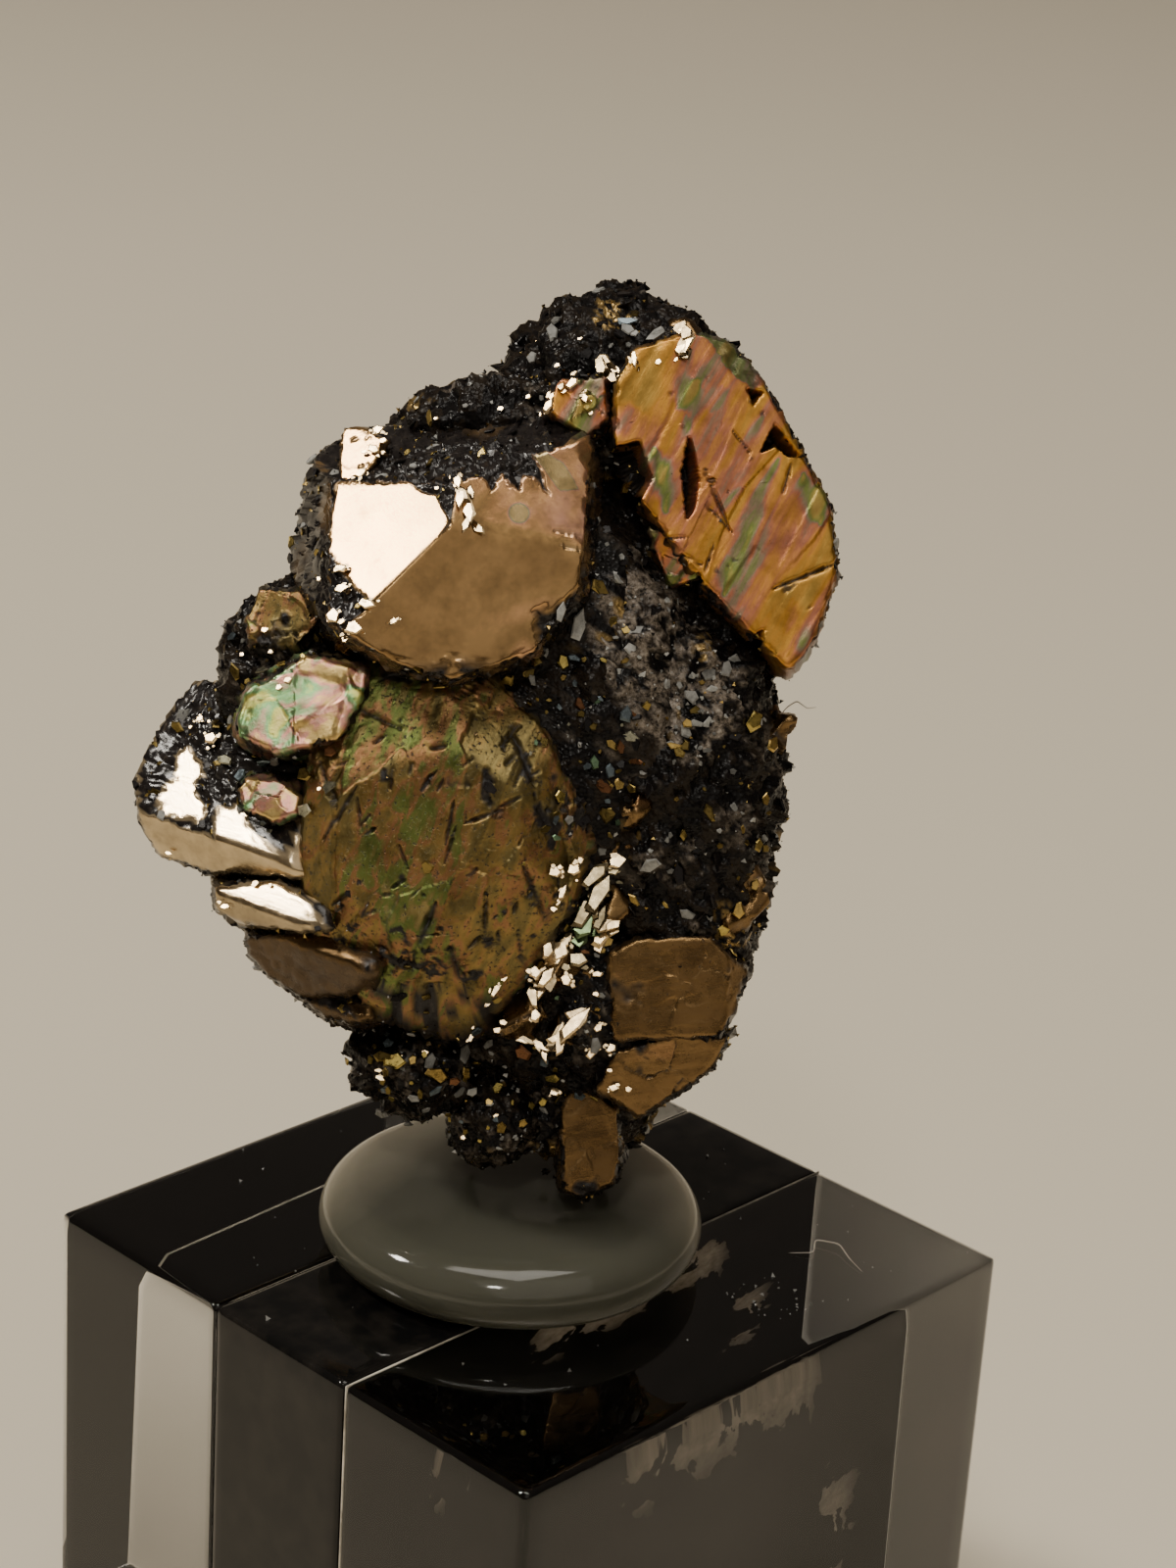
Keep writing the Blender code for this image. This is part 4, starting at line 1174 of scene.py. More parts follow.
# Single bits of the show side: across, up, half length, half width, turn in degrees, tint
BITS = [
    (-4.3, 12.3, .30, .20, 20, "lit"), (-4.9, 10.5, .30, .20, 60, "lit"),
    (2.65, -4.98, .24, .20, 0, "lit"), (3.39, -4.86, .30, .24, 60, "lit"),
    (2.94, -5.78, .36, .12, 70, "lit"), (2.60, -6.45, .14, .10, 0, "lit"),
    (5.06, -4.58, .36, .28, 20, "lit"), (4.48, -7.56, .52, .30, 60, "lit"),
    (2.76, -8.19, .42, .34, 50, "lit"), (1.85, -8.99, .25, .24, 0, "lit"),
    (1.96, -9.74, .60, .27, 62, "lit"), (3.05, -9.28, .30, .20, -60, "lit"),
    (0.07, -9.97, .38, .12, 60, "lit"), (1.85, -10.71, .25, .20, 80, "lit"),
    (3.34, -11.1, .90, .28, 48, "lit"), (-0.68, -11.57, .38, .10, 65, "lit"),
    (0.35, -11.29, .20, .14, 0, "lit"), (1.96, -11.97, .50, .14, -35, "lit"),
    (1.33, -12.32, .40, .38, 0, "brown"), (4.08, -12.26, .25, .18, 60, "lit"),
    (4.35, -5.9, 1.0, .40, 65, "lit_pale"), (3.8, -7.2, .60, .40, 40, "lit_green"),
    (3.5, -8.5, .50, .34, 0, "lit_pale"), (4.9, -5.0, .30, .22, 0, "lit_pale"),
    (3.1, -7.7, .40, .26, 55, "lit_pale"), (4.30, -9.1, .22, .12, 10, "lit"),
    (4.25, -9.9, .15, .12, 0, "lit"), (4.30, -10.5, .14, .10, 0, "gold"),
    (4.35, -11.2, .20, .14, 40, "lit"), (4.85, -12.1, .20, .18, 40, "lit"),
    (4.80, -13.0, .12, .1, 0, "lit"), (4.95, -13.7, .18, .14, 0, "lit"),
    (5.54, -13.77, .14, .12, 0, "lit"), (2.5, -13.4, .34, .28, 0, "yellow"),
    (2.6, -14.0, .22, .18, 0, "lit"), (2.1, -14.5, .22, .18, 30, "yellow"),
    (1.3, -15.3, .25, .2, 0, "gold"), (-4.35, -13.3, .25, .12, -20, "lit"),
    (-0.73, -13.98, .30, .24, 0, "ash"), (0.24, -15.0, .17, .14, 0, "lit"),
    (-1.14, -15.93, .14, .12, 0, "lit"), (-3.03, -14.15, .30, .20, -30, "grey"),
    (-0.05, -14.44, .2, .16, 0, "ash"), (-3.78, -12.6, .55, .42, 0, "yellow"),
    (-3.5, -12.5, .2, .16, 0, "lit"), (-2.57, -12.32, .2, .12, 0, "lit"),
    (-2.1, -13.2, .55, .34, -20, "gold"), (-1.4, -13.5, .3, .2, 0, "brown"),
    (-5.58, 6.7, .30, .18, 0, "lit"), (-5.48, 5.9, .34, .20, 0, "lit"),
    (-4.47, 5.26, .44, .24, -20, "lit"), (-5.8, 4.83, .42, .28, -55, "lit"),
    (-4.95, 4.36, .46, .32, 0, "lit"), (-5.3, 3.93, .2, .15, 0, "lit"),
    (-3.46, 4.62, .22, .15, 20, "lit"), (-6.44, 6.32, .12, .12, 0, "lit"),
    (-8.83, 4.51, .2, .15, 0, "lit"), (-8.83, 3.34, .12, .1, 0, "lit"),
    (-8.03, 2.17, .17, .15, 0, "lit"), (-7.13, 3.4, .12, .1, 0, "yellow"),
    (-1.06, 10.05, .36, .20, -60, "lit"), (-0.63, 8.9, .72, .28, -68, "lit"),
    (-4.09, 11.86, .2, .16, 0, "lit"), (-4.47, 11.54, .34, .2, -20, "lit"),
    (-4.1, 11.38, .15, .12, 0, "lit"), (-2.13, 12.98, .12, .1, 0, "lit"),
    (-0.95, 13.46, .14, .1, 0, "ash"), (0.48, 13.35, .17, .14, 0, "lit"),
    (1.55, 13.83, .14, .12, 0, "lit"), (-2.87, 10.8, .2, .16, 0, "ash"),
    (-1.86, 9.78, .12, .1, 0, "lit"), (2.4, 13.24, .42, .2, 65, "lit"),
    (3.3, 14.15, .36, .22, 45, "lit"), (2.98, 13.83, .15, .12, 0, "lit"),
    (3.78, 13.6, .32, .18, -60, "lit"), (3.89, 13.2, .15, .12, 0, "yellow"),
    (4.05, 12.98, .12, .1, 0, "lit"), (4.9, 14.73, .6, .32, -35, "lit"),
    (5.75, 15.1, .45, .15, -75, "lit"), (6.7, 15.0, .18, .15, 0, "lit"),
    (2.72, 15.0, .15, .12, 0, "lit"), (3.62, 16.06, .13, .1, 0, "lit"),
    (7.84, 15.75, .56, .36, 75, "lit"), (7.58, 16.3, .14, .1, 0, "lit"),
    (7.4, 15.1, .15, .1, 60, "lit"), (5.46, 16.86, .5, .2, 0, "blue"),
    (6.63, 16.2, .6, .34, 85, "grey"), (5.78, 16.3, .22, .16, 0, "ash"),
    (3.56, 4.65, .8, .3, 75, "ash"), (2.9, 5.0, .45, .2, 80, "grey"),
    (-11.7, 1.06, .22, .15, 0, "lit"), (-11.3, .95, .1, .1, 0, "lit"),
    (-12.1, .72, .1, .1, 0, "lit"), (-11.2, .26, .32, .28, 0, "lit"),
    (-11.3, -.14, .1, .1, 0, "lit"), (-7.7, 2.45, .2, .16, 0, "lit"),
    (-8.6, 3.65, .14, .12, 0, "lit"), (-9.9, 3.6, .14, .12, 0, "lit"),
    (-8.0, 3.1, .25, .2, 0, "yellow"), (-12.9, -4.36, .2, .1, -20, "lit"),
    (-9.17, -5.5, .2, .15, 0, "lit"), (-8.54, -5.55, .12, .1, 0, "lit"),
    (-10.4, -6.4, .25, .12, -10, "lit"), (-8.95, -.75, .5, .2, 5, "blue"),
    (-9.9, -1.2, .34, .22, 60, "blue"), (-6.47, -1.77, .12, .1, 0, "lit"),
    (-7.1, -1.2, .35, .3, 0, "olive"), (-6.07, -.3, .3, .25, 0, "brown"),
    (-7.1, -2.6, .34, .3, 0, "pale"), (-0.39, .37, .1, .1, 0, "lit"),
    (.3, -9.66, .34, .14, 60, "lit"), (.63, -9.2, .15, .12, 0, "lit"),
    (-2.46, -12.0, .15, .12, 0, "lit"), (-4.4, -13.0, .2, .1, 0, "lit"),
    (.58, -11.0, .15, .12, 0, "lit"), (10.5, 0.9, .5, .4, 40, "yellow"),
    (11.3, 0.0, .4, .3, 60, "gold"), (11.0, -2.2, .3, .2, 80, "gold"),
    (10.7, -4.0, .35, .2, 80, "olive"), (10.6, -5.6, .3, .2, 70, "gold"),
    (9.9, -6.6, .4, .3, 60, "gold"), (9.3, -7.4, .3, .25, 30, "yellow"),
]


# Strewn fragments: how many, left, right, low, high, and their tints
FRAGMENTS = [
    (150, 1.4, 5.8, -10.4, 3.4, (
        "brown", "blue", "pale", "green", "olive", "gold", "grey", "olive", "yellow", "black",
    )),
    (80, -5.2, 4.4, -16.0, -11.2, ("grey", "blue", "gold", "yellow", "ash", "olive", "black")),
    (24, 1.6, 8.8, 13.6, 17.2, ("grey", "blue", "olive", "grey", "ash")),
    (40, 7.0, 11.2, -8.0, 3.0, ("grey", "olive", "ash", "gold", "grey")),
    (50, -10.8, -5.6, -3.6, 4.4, ("grey", "blue", "olive", "pale", "brown")),
]

# How far from a bit's place the skin may be, in the show view
SKIN_REACH = 0.22


def fragment_rows():
    """The strewn fragments: across, up, half length, half width, turn, tint, tone and True, as
    they sit on crumbly skin alone."""
    rows = []
    for field, (count, left, right, low, high, tints) in enumerate(FRAGMENTS):
        picks = [draws(count, FRAGMENT_SEED + 10 * field + k) for k in range(5)]
        for a, b, c, d, e in zip(*picks):
            size = 0.07 + 0.17 * c ** 2
            rows.append((left + (right - left) * a, low + (high - low) * b, size * (1 + d), size,
                         180 * e, tints[int(d * 1000) % len(tints)], 0.35 + 0.5 * e, True))
    return rows


def bit_rows():
    """The single bits in the same columns, with False. The larger lit ones are broken into a main
    bit and five smaller ones about it."""
    rows = []
    for number, (x, y, long_half, wide_half, turn, tint) in enumerate(BITS):
        grow = 1.2 if tint == "lit" and y < -4 and x > 0.5 else 1.0
        long_half, wide_half = grow * long_half, grow * wide_half
        parts = 6 if tint[:3] == "lit" and long_half > 0.2 else 1
        odd = draws(5 * parts, BIT_SEED + 20 + number).reshape(parts, 5) - 0.5
        c, s = math.cos(math.radians(turn)), math.sin(math.radians(turn))
        for part in range(parts):
            small = part > 0
            a, b = odd[part, 0] * 2.2 * long_half * small, odd[part, 1] * 2.4 * wide_half * small
            scale = 0.2 + 0.3 * (long_half > 0.5) + 0.5 * abs(odd[part, 2]) if small else 0.85
            rows.append((x + a * c - b * s, y + a * s + b * c, scale * long_half,
                         max(scale * wide_half, 0.05), turn + 80 * odd[part, 3] * small, tint,
                         1.0 - small * (1.6 * abs(odd[part, 4])), False))
    return rows


def show_bits(finish):
    """The single bits of the show side, set on the foremost skin at their places. The lit ones
    face halfway to the lamp that reaches them and the others look along the skin there."""
    points = np.concatenate(SOIL["points"])
    out = np.concatenate(SOIL["normals"])
    crumbly = np.concatenate(SOIL["weight"]) > 0
    looks_to, centres, kept = [], [], []
    for row in fragment_rows() + bit_rows():
        x, y, _, size, _, tint, _, strewn = row
        near = np.hypot(points[:, 0] - x, points[:, 1] - y) < SKIN_REACH
        pick = np.argmax(np.where(near, points[:, 2], -99.0))
        if not near[pick] or (strewn and not crumbly[pick]):
            continue
        kept.append(row)
        place = np.array((x, y, points[pick, 2] + 0.35 * size))
        in_valley = y < -8.2 or (x > 0.5 and y < 3.0)
        to_lamp, to_eye = (GLINT_PLACE if in_valley else KEY_PLACE) - place, EYE_PLACE - place
        halfway = to_lamp / np.linalg.norm(to_lamp) + to_eye / np.linalg.norm(to_eye)
        looks_to.append(halfway if tint[:3] == "lit" else out[pick] + np.array((0, 0, 0.4)))
        centres.append(place)
    long, wide, turn = (np.array([row[k] for row in kept], float) for k in (2, 3, 4))
    tints = np.array([np.array(TINTS[row[5]][0]) * row[6] for row in kept])
    shine = np.array([TINTS[row[5]][1] for row in kept])
    bits_mesh("show_bits", np.array(centres), np.array(looks_to), long, wide, np.radians(turn),
              tints, shine, finish, BIT_SEED)


# The block and the pad

def acrylic_clear(name):
    """Clear acrylic, with faint rubs in its polish and its right side matt."""
    made, tree, shader = finish_base(name, 0.31)
    place = object_place(tree)
    shader.inputs["Transmission Weight"].default_value = 1.0
    shader.inputs["IOR"].default_value = 1.49
    rubs = mottle(tree, place, 90.0, 3.0)
    across = node(tree, "ShaderNodeSeparateXYZ", {"Vector": place}).outputs["X"]
    side = BLOCK_SIDE / 2 * MM
    matt = span(tree, across, side - 0.08 * MM, side - 0.01 * MM, 0.0, 0.45)
    satin = ramp(tree, rubs, [(0.5, (0.0,)), (0.9, (0.03,))])
    tint = ramp(tree, rubs, [(0.3, (0.99, 0.99, 0.98)), (0.7, (0.97, 0.97, 0.96))])
    dress(tree, shader, tint, plus(tree, satin, matt))
    emboss(tree, shader, mottle(tree, place, 260.0, 1.0), 0.02, 0.01 * MM)
    return made


def acrylic_black(name):
    """Black acrylic: deep and glossy, with faint dust in its polish."""
    made, tree, shader = finish_base(name, 0.29)
    dust = mottle(tree, object_place(tree), 900.0, 8.0)
    tone = ramp(tree, dust, [(0.4, (0.004, 0.004, 0.004)), (0.75, (0.014, 0.012, 0.010))])
    dress(tree, shader, tone, ramp(tree, dust, [(0.4, (0.03,)), (0.8, (0.14,))]))
    emboss(tree, shader, dust, 0.03, 0.01 * MM)
    return made


def bond_black(name):
    """The black sheet as seen through the bond, where nothing is mirrored: dead black, with
    branching glue voids, paler and brown, that start below the top edge."""
    # The same finish also dresses the dark sheet under the block, which is painted shade.
    made, tree, shader = finish_base(name, 0.0)
    place, axes = block_place(tree)
    branches = clouds(tree, place, 2.2, 5.0, 0.55, 0.5)

    def window(axis, low, high, soft):
        up = span(tree, axes[axis], low - soft, low + soft)
        down = span(tree, axes[axis], high + soft, high - soft)
        return times(tree, up, down)

    upper = times(tree, window("X", -3.5, 8.0, 0.8), window("Z", 20.8, 25.6, 1.3))
    right = times(tree, window("X", 8.6, 11.0, 0.8), window("Z", 11.0, 17.0, 1.6))
    where = times(tree, plus(tree, upper, right), window("Y", -4.2, -3.7, 0.02))
    void = plus(tree, branches, times(tree, where, 0.20))
    void = times(tree, ramp(tree, void, [(0.66, (0.0,)), (0.675, (1.0,))]), where)
    brown = ramp(tree, clouds(tree, place, 0.6, 5.0), [
        (0.3, (0.13, 0.11, 0.085)), (0.7, (0.27, 0.235, 0.19)),
    ])
    grain = ramp(tree, clouds(tree, place, 3.0, 2.0), [
        (0.4, (0.003, 0.003, 0.003)), (0.7, (0.006, 0.005, 0.005)),
    ])
    dress(tree, shader, blend(tree, void, grain, brown),
          ramp(tree, branches, [(0.3, (0.5,)), (0.7, (0.8,))]))
    return made


def glue_line(name):
    """The dried glue along a seam: dark, with paler clouds, and made paler towards its left end and
    its top as painted light.
    """
    made, tree, shader = finish_base(name, 0.3)
    place, axes = block_place(tree)
    # Painted light: paler towards the left end and the top of the block.
    left = span(tree, axes["X"], -4.0, -12.0, 0.08, 0.46)
    high = span(tree, axes["Z"], 8.0, 27.0, 0.4, 1.0)
    pale = plus(tree, times(tree, left, high), clouds(tree, place, 1.6, 4.0))
    tone = ramp(tree, pale, [
        (0.45, (0.02, 0.018, 0.015)), (0.80, (0.30, 0.27, 0.22)), (1.0, (0.75, 0.70, 0.60)),
    ])
    dress(tree, shader, tone, ramp(tree, pale, [(0.3, (0.25,)), (0.9, (0.5,))]))
    return made


def eased_box(name, low, high, ease, finish, rows):
    """A block with eased edges: each side is a grid that lies closer at its ends. Its points are
    drawn in to a box smaller by the ease, then pushed out from there by the ease."""
    low, high = np.array(low), np.array(high)
    half = (high - low) / 2
    side = np.linspace(-1, 1, rows)
    a, b = np.meshgrid(side, side, indexing="ij")
    inner = half - ease
    points, quads, start = [], [], 0
    ring = (np.arange(rows - 1)[:, None] * rows + np.arange(rows - 1)[None, :]).ravel()
    quad = np.stack([ring, ring + rows, ring + rows + 1, ring + 1], -1)
    for axis in range(3):
        for sign in (-1, 1):
            p = np.zeros((rows, rows, 3))
            p[..., axis] = sign
            p[..., (axis + 1) % 3] = np.sin(a * math.pi / 2)
            p[..., (axis + 2) % 3] = np.sin(b * math.pi / 2)
            p = p * half
            core = np.clip(p, -inner, inner)
            length = np.linalg.norm(p - core, axis=-1, keepdims=True)
            p = core + (p - core) / np.maximum(length, 1e-9) * ease
            points.append(((low + high) / 2 + p).reshape(-1, 3))
            quads.append((quad if sign > 0 else quad[:, ::-1]) + start)
            start += rows * rows
    made = mesh_piece(name, np.concatenate(points) * MM, [np.concatenate(quads)], finish)
    weld(made.data)
    return made


def weld(mesh):
    """Joins points that lie together, within a thousandth of a millimetre."""
    bm = bmesh.new()
    bm.from_mesh(mesh)
    bmesh.ops.remove_doubles(bm, verts=bm.verts, dist=1e-6)
    bm.to_mesh(mesh)
    bm.free()


def block(clear, black):
    """The three sheets, the linings behind the bonds, a dark sheet under the back clear sheet that
    is painted shade, and the glue at the front seam. The clear sheets reach a hair into the black
    one, so that no air gap shows at the bond."""
    half, top = BLOCK_SIDE / 2, BLOCK_HEIGHT
    bond = SEAM - 0.17
    lining, glue = bond_black("bond_black"), glue_line("glue_line")
    front = ("clear_slab_front", "clear_acrylic")
    middle = ("black_slab_middle", "black_acrylic")
    rows = [
        ("clear_front", (-half, -half, 0.02), (half, -bond, top), 0.22, clear, front, 16),
        ("clear_back", (-half, bond, 0.02), (half, half, top), 0.22, clear,
         ("clear_slab_back", "clear_acrylic"), 16),
        ("black_middle", (-half, -SEAM + 0.15, 0.0), (half, SEAM - 0.15, top), 0.2, black,
         middle, 16),
        ("bond_front", (-half + 0.1, -SEAM + 0.05, 0.1), (half - 0.04, -SEAM + 0.3, top - 0.1),
         0.03, lining, middle, 16),
        ("bond_back", (-half + 0.1, SEAM - 0.3, 0.1), (half - 0.1, SEAM - 0.05, top - 0.1),
         0.05, lining, middle, 16),
        # Painted shade: a dark sheet under the back clear sheet, so that the floor seen through the
        # block's top reads dark.
        ("painted_shade_underside", (-half + 0.1, SEAM + 0.1, 0.06), (half - 0.1, half - 0.1, 0.16), 0.04,
         lining, ("clear_slab_back", "black_acrylic"), 16),
        ("seam_top", (-half, -SEAM - 0.03, top - 0.15), (half, -SEAM + 0.03, top + 0.012), 0.02,
         glue, front, 8),
        ("seam_side", (-half - 0.012, -SEAM - 0.035, 0.3), (-half + 0.15, -SEAM + 0.035, top),
         0.02, glue, front, 8),
    ]
    for name, low, high, ease, finish, (node_name, slot_name), grid in rows:
        piece = eased_box(name, low, high, ease, finish, grid)
        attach(piece, "root")
        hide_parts(node_name)


def fibre(name, path, radius, finish, node_name):
    """A lint fibre: a circle of six points carried along a smoothed path given in metres."""
    path = np.array(path, float)
    t = np.linspace(0, len(path) - 1, 10 * len(path))
    line = np.stack([np.interp(t, np.arange(len(path)), path[:, k]) for k in range(3)], -1)
    for _ in range(6):
        line[1:-1] = (line[:-2] + 2 * line[1:-1] + line[2:]) / 4
    ahead = np.gradient(line, axis=0)
    ahead /= np.linalg.norm(ahead, axis=-1, keepdims=True)
    side = np.cross(ahead, np.array((0.1, 0.2, 0.97)))
    side /= np.linalg.norm(side, axis=-1, keepdims=True)
    lift = np.cross(side, ahead)
    turn = np.linspace(0, math.tau, 6, endpoint=False)
    thick = radius * np.sqrt(np.clip(np.sin(np.linspace(0, math.pi, len(line))), 0.0, 1))
    grid = line[:, None] + thick[:, None, None] * (np.cos(turn)[None, :, None] * side[:, None]
                                                   + np.sin(turn)[None, :, None] * lift[:, None])
    points, faces = wrapped(grid)
    made = mesh_piece(name, points, faces, finish)
    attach(made, "root")
    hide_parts(node_name)


def lint(name):
    """Pale lint, a little uneven along its length."""
    made, tree, shader = finish_base(name, 0.2)
    uneven = mottle(tree, object_place(tree), 1500.0, 3.0)
    tone = ramp(tree, uneven, [(0.3, (0.30, 0.27, 0.23)), (0.7, (0.55, 0.50, 0.44))])
    dress(tree, shader, tone, ramp(tree, uneven, [(0.3, (0.6,)), (0.7, (0.9,))]))
    return made


def block_dust(finish):
    """Loose grains and lint on the block's top, most of them on its left corner and in front of
    the pad, and one fibre on the stone's right edge."""
    count = 90
    half = BLOCK_SIDE / 2 - 0.5
    pick = [draws(count, DUST_SEED + k) for k in range(7)]
    heap = pick[2] < 0.35
    x = np.where(heap, 4.0 + 3.0 * (pick[3] - 0.5), (pick[0] * 2 - 1) * half)
    y = np.where(heap, -10.0 + 3.4 * (pick[4] - 0.5), (pick[1] * 2 - 1) * half)
    away = np.hypot(x - PAD_CENTRE[0], y - PAD_CENTRE[1]) > PAD_RADIUS + 0.4
    size = 0.03 + 0.09 * pick[5] ** 2
    centres = np.stack([x, y, BLOCK_HEIGHT + 0.5 * size], -1)[away] * MM
    tints = np.array(TINTS["ash"][0]) * (0.35 + 0.6 * pick[6])[away][:, None]
    made = grit_mesh("dust", centres, size[away] * MM, tints, 0.0 * size[away], finish,
                     DUST_SEED + 10)
    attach(made, "root")
    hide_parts("clear_slab_front")
    pale = lint("pale_lint")
    top = BLOCK_HEIGHT + 0.06
    on_block = np.array([
        (7.3, -8.1, top), (8.0, -8.9, top + 0.1), (8.9, -8.2, top + 0.12), (9.3, -9.2, top + 0.2),
        (8.8, -10.2, top + 0.1), (8.5, -11.2, top),
    ])
    fibre("lint_on_block", on_block * MM, 0.035 * MM, pale, "clear_slab_front")
    on_edge = np.array([
        (11.3, 0.7, -0.4), (11.9, 1.5, 0.0), (12.3, 1.75, 0.3), (12.7, 1.45, 0.3), (13.1, 1.5, 0.2),
    ])
    fibre("lint_on_stone", to_place(on_edge), 0.03 * MM, pale, STONE)


def milky_gel(name):
    """Milky gel: light sinks in and scatters, under a glossy skin. Its colour is lighter at the rim
    and towards the back and darker in front: painted light and shade."""
    made, tree, shader = finish_base(name)
    place = object_place(tree)
    haze = mottle(tree, place, 180.0, 4.0)
    centred = node(tree, "ShaderNodeMapping", {
        "Vector": place, "Location": (-PAD_CENTRE[0], -PAD_CENTRE[1], 0),
        "Scale": (1 / MM, 1 / MM, 0),
    }).outputs["Vector"]
    away = node(tree, "ShaderNodeVectorMath", {0: centred}, operation="LENGTH").outputs["Value"]
    # Painted light and shade: the colour grows lighter towards the rim and towards the back, and
    # darker in front.
    rim = span(tree, away, 4.0, PAD_RADIUS)
    behind = node(tree, "ShaderNodeVectorMath", {0: centred, 1: (0.7071, 0.7071, 0.0)},
                  operation="DOT_PRODUCT").outputs["Value"]
    rim = times(tree, plus(tree, times(tree, rim, 0.6), 0.4), span(tree, behind, -6.5, 2.0))
    milk_and_painted_light = plus(tree, times(tree, haze, 0.3), times(tree, rim, 0.7))
    tone = ramp(tree, milk_and_painted_light, [
        (0.12, (0.105, 0.105, 0.080)), (0.35, (0.120, 0.118, 0.090)), (0.85, (0.52, 0.47, 0.36)),
    ])
    dress(tree, shader, tone, ramp(tree, haze, [(0.3, (0.05,)), (0.7, (0.12,))]))
    shader.inputs["Subsurface Weight"].default_value = 0.6
    shader.inputs["Subsurface Radius"].default_value = (1.0, 0.95, 0.75)
    shader.inputs["Subsurface Scale"].default_value = 0.003
    shader.inputs["Transmission Weight"].default_value = 0.38
    shader.inputs["IOR"].default_value = 1.41
    emboss(tree, shader, haze, 0.06, 0.1 * MM)
    return made


def pad(finish):
    """The pad: its half section of (radius, height) carried round its centre, with a shallow
    dent where the tip is pressed in."""
    rim = PAD_RADIUS - PAD_FOOT_RADIUS
    angles = np.radians(np.linspace(-90, 90, 40))
    radius = PAD_FOOT_RADIUS + rim * np.cos(angles)
    height = PAD_RIM_HEIGHT * (1 + np.sin(angles))
    part = np.linspace(0, 1, 60)[1:]
    crown = PAD_FOOT_RADIUS * (1 - part)
    rise = 2 * PAD_RIM_HEIGHT + (PAD_HEIGHT - 2 * PAD_RIM_HEIGHT) * np.sin(part * math.pi / 2)
    floor = np.linspace(0, PAD_FOOT_RADIUS, 12)[:-1]
    radius = np.concatenate([floor, radius, crown])
    height = np.concatenate([floor * 0, height, rise])
    columns = 160
    turn = np.linspace(0, 2 * math.pi, columns, endpoint=False)
    grid = np.stack([
        PAD_CENTRE[0] + radius[:, None] * np.cos(turn),
        PAD_CENTRE[1] + radius[:, None] * np.sin(turn),
        BLOCK_HEIGHT + 0.02 + height[:, None] + 0 * turn,
    ], -1)
    grid[..., 2] += 0.04 * swell(grid, 3.0, 200, 2) * (height[:, None] > 0.3)
    near = np.exp(-(((grid[..., 0] + 0.7) / 3.0) ** 2 + ((grid[..., 1] + 1.6) / 3.0) ** 2) ** 1.5)
    grid[..., 2] -= 0.35 * near * (height[:, None] > 2.0)
    points, faces = wrapped(grid[::-1])
    made = mesh_piece("gel_cushion", points * MM, faces, finish)
    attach(made, "root")
    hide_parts("gel_pad")


# The set

CAMERA_PLACE = (-92.084, -88.345, 98.344)
CAMERA_LENS = 78.42
FILM = 36.0


def camera():
    """The camera at the photograph's viewing angle."""
    data = bpy.data.cameras.new("camera")
    data.sensor_fit = "AUTO"
    data.sensor_width = FILM
    data.lens = CAMERA_LENS
    data.clip_start = 0.005
    data.clip_end = 10.0
    made = bpy.data.objects.new("camera", data)
    bpy.context.scene.collection.objects.link(made)
    made.location = Vector(CAMERA_PLACE) * MM
    made.rotation_euler = SHOW_TURN
    bpy.context.scene.camera = made


def lamp(name, way, distance, size, power, colour):
    """A square soft light, placed in a direction of the show frame and aimed at the stone."""
    data = bpy.data.lights.new(name, "AREA")
    data.size = size
    data.energy = power
    data.color = colour
    made = bpy.data.objects.new(name, data)
    bpy.context.scene.collection.objects.link(made)
    way = np.array(way, float)
    way /= np.linalg.norm(way)
    centre = Vector(STONE_CENTRE)
    made.location = centre + Vector(SHOW_AXES @ way) * distance
    made.rotation_euler = (centre - made.location).to_track_quat("-Z", "Y").to_euler()


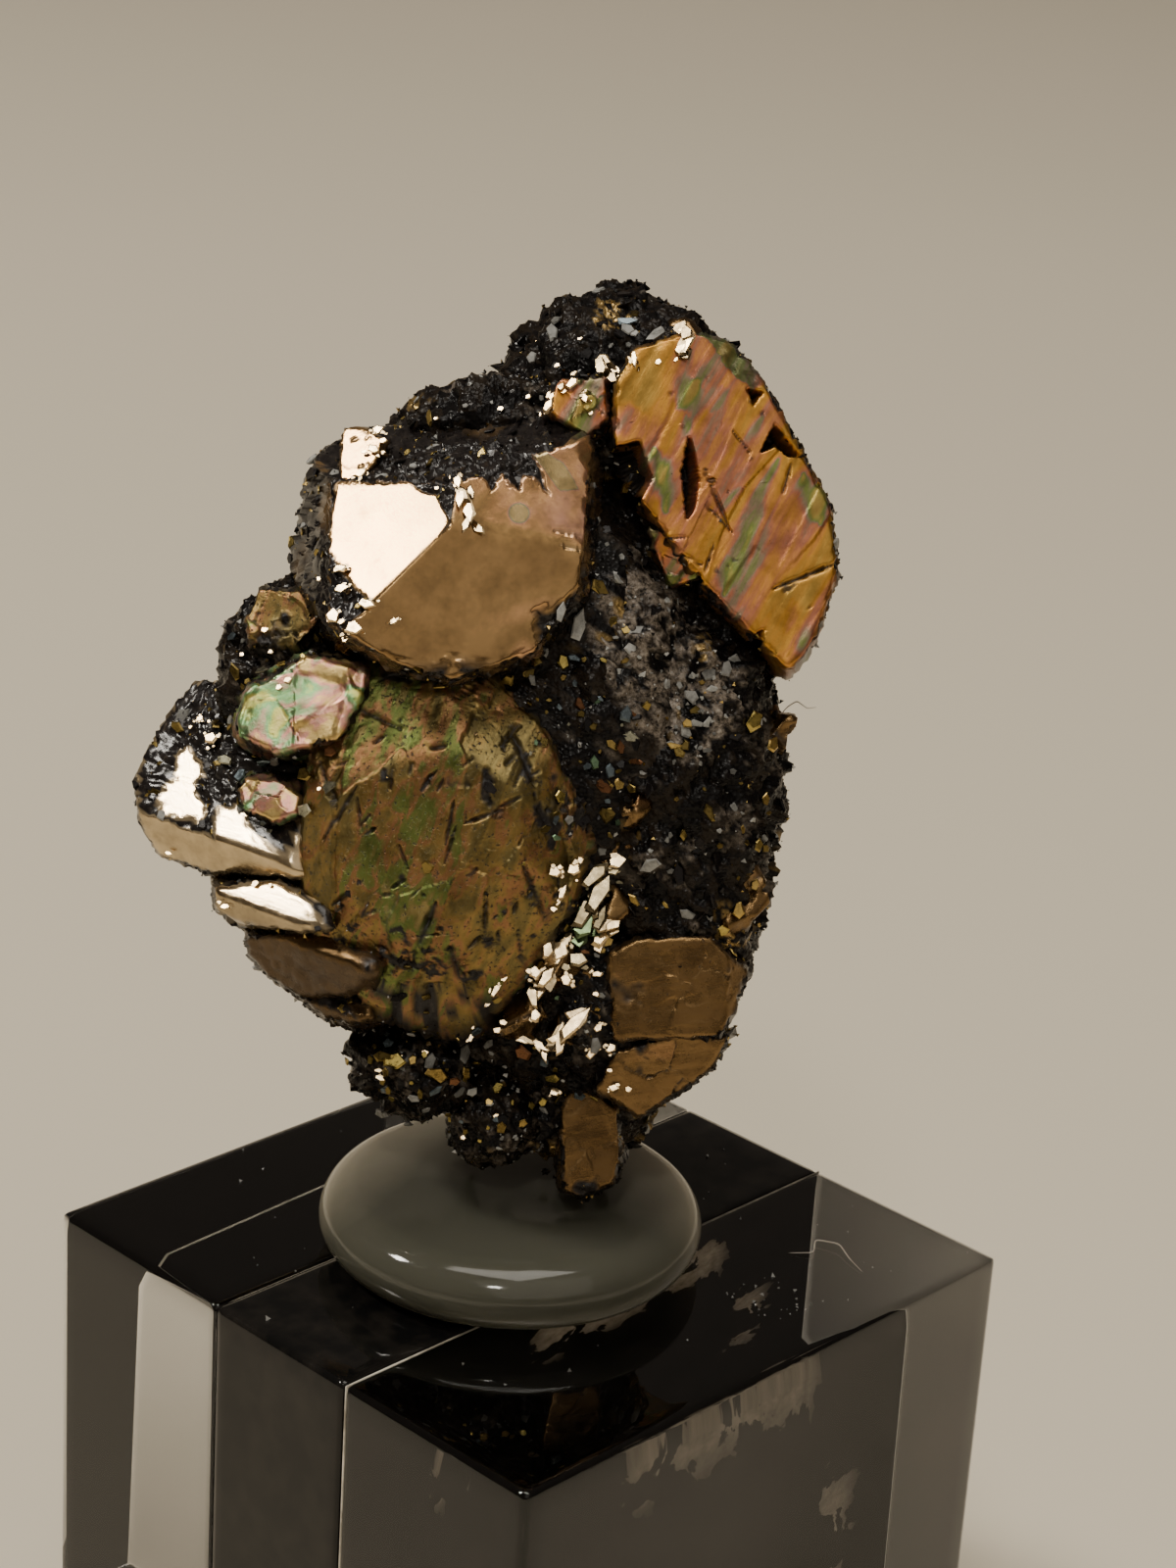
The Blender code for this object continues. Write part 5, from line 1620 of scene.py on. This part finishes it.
def studio():
    """A pale floor that sweeps up behind, two lamps, two soft panels and a dim room."""
    made, tree, shader = finish_base("pale_sweep")
    soft = mottle(tree, object_place(tree), 2.0, 2.0)
    tone = ramp(tree, soft, [(0.3, (0.67, 0.605, 0.48)), (0.7, (0.73, 0.66, 0.53))])
    tree.links.new(tone, shader.inputs["Base Color"])
    shader.inputs["Roughness"].default_value = 0.8
    angle = math.radians(46.7)
    back = np.array((math.sin(angle), math.cos(angle), 0))
    side = np.array((math.cos(angle), -math.sin(angle), 0))
    bend = np.linspace(0.05, 1.2, 24)
    run = np.concatenate([np.linspace(-6.0, 0.6, 16), 0.6 + 0.3 * np.sin(bend)])
    rise = np.concatenate([np.zeros(16), 0.3 * (1 - np.cos(bend))])
    across = np.linspace(-6.0, 6.0, 25)
    grid = run[:, None, None] * back + across[:, None] * side
    grid[..., 2] = rise[:, None]
    rows, columns = grid.shape[:2]
    low = (np.arange(rows - 1)[:, None] * columns + np.arange(columns - 1)[None, :]).ravel()
    quads = np.stack([low, low + 1, low + columns + 1, low + columns], -1)
    floor = mesh_piece("sweep", grid.reshape(-1, 3), [quads], made)

    world = bpy.data.worlds.new("room")
    bpy.context.scene.world = world
    world.use_nodes = True
    sky = world.node_tree
    way = node(sky, "ShaderNodeTexCoord").outputs["Generated"]
    height = node(sky, "ShaderNodeSeparateXYZ", {"Vector": way}).outputs["Z"]
    tone = ramp(sky, span(sky, height, -1.0, 1.0), [
        (0.0, (0.07, 0.058, 0.045)), (0.5, (0.10, 0.084, 0.066)), (1.0, (0.13, 0.11, 0.09)),
    ])
    sky.links.new(tone, sky.nodes["Background"].inputs["Color"])
    sky.nodes["Background"].inputs["Strength"].default_value = 1.0
    lamp("key_lamp", KEY_WAY, KEY_DISTANCE * MM, 0.12, 4.2, (1.0, 0.94, 0.84))
    lamp("glint_lamp", GLINT_WAY, GLINT_DISTANCE * MM, 0.05, 0.45, (1.0, 0.95, 0.86))
    lamp("front_panel", (0.32, 0.34, 0.88), 0.62, 0.66, 0.75, (1.0, 0.92, 0.80))
    lamp("top_wash", (0.058, 0.93, 0.363), 0.80, 0.45, 3.4, (1.0, 0.94, 0.85))


def main():
    """Build every piece, the camera and the set."""
    camera()
    studio()
    block(acrylic_clear("clear_acrylic"), acrylic_black("black_acrylic"))
    pad(milky_gel("milky_gel"))
    vivid = pyrite("vivid_tarnish", VIVID, 1.05, 60, 5.0, (0.28, 0.40), 0.25, 0.02, 1.35)
    brown = pyrite("brown_mirror", BROWN, 3.4, 50, 1.5, (0.16, 0.26), 0.08, -0.02, 0.8)
    olive = pyrite("olive_gold", OLIVE, 0.85, 68, 2.2, (0.26, 0.42), 0.5, 0.12, 1.5)
    brass = pyrite("brass_steps", BRASS, 1.2, -18, 6.0, (0.12, 0.26), 0.15, 0.0, 0.8)
    foot = pyrite("brown_foot", UMBER, 2.2, 8, 3.0, (0.20, 0.34), 0.35, 0.04, 0.9)
    bright = pyrite("bright_film", BRIGHT, 1.3, 20, 1.6, (0.28, 0.40), 0.25, 0.03, 1.8)
    black = hematite("black_hematite")
    grains = broken_bits("hematite_grains")
    left_upper_crystal(brown)
    small_crystal("lit_corner", brown)
    right_plate(vivid)
    small_crystal("plate_flap", vivid)
    small_crystal("upper_flake", vivid)
    small_crystal("side_flake", olive)
    front_crystal(olive)
    left_steps(brass, foot)
    foot_crystals(foot)
    small_crystal("patch_upper", bright)
    small_crystal("patch_lower", bright)
    gold_bits(foot)
    back_crystals(olive)
    hematite_masses(black)
    show_bits(grains)
    crumb_cover(grains)
    grit_cover(grains)
    block_dust(grains)


main()
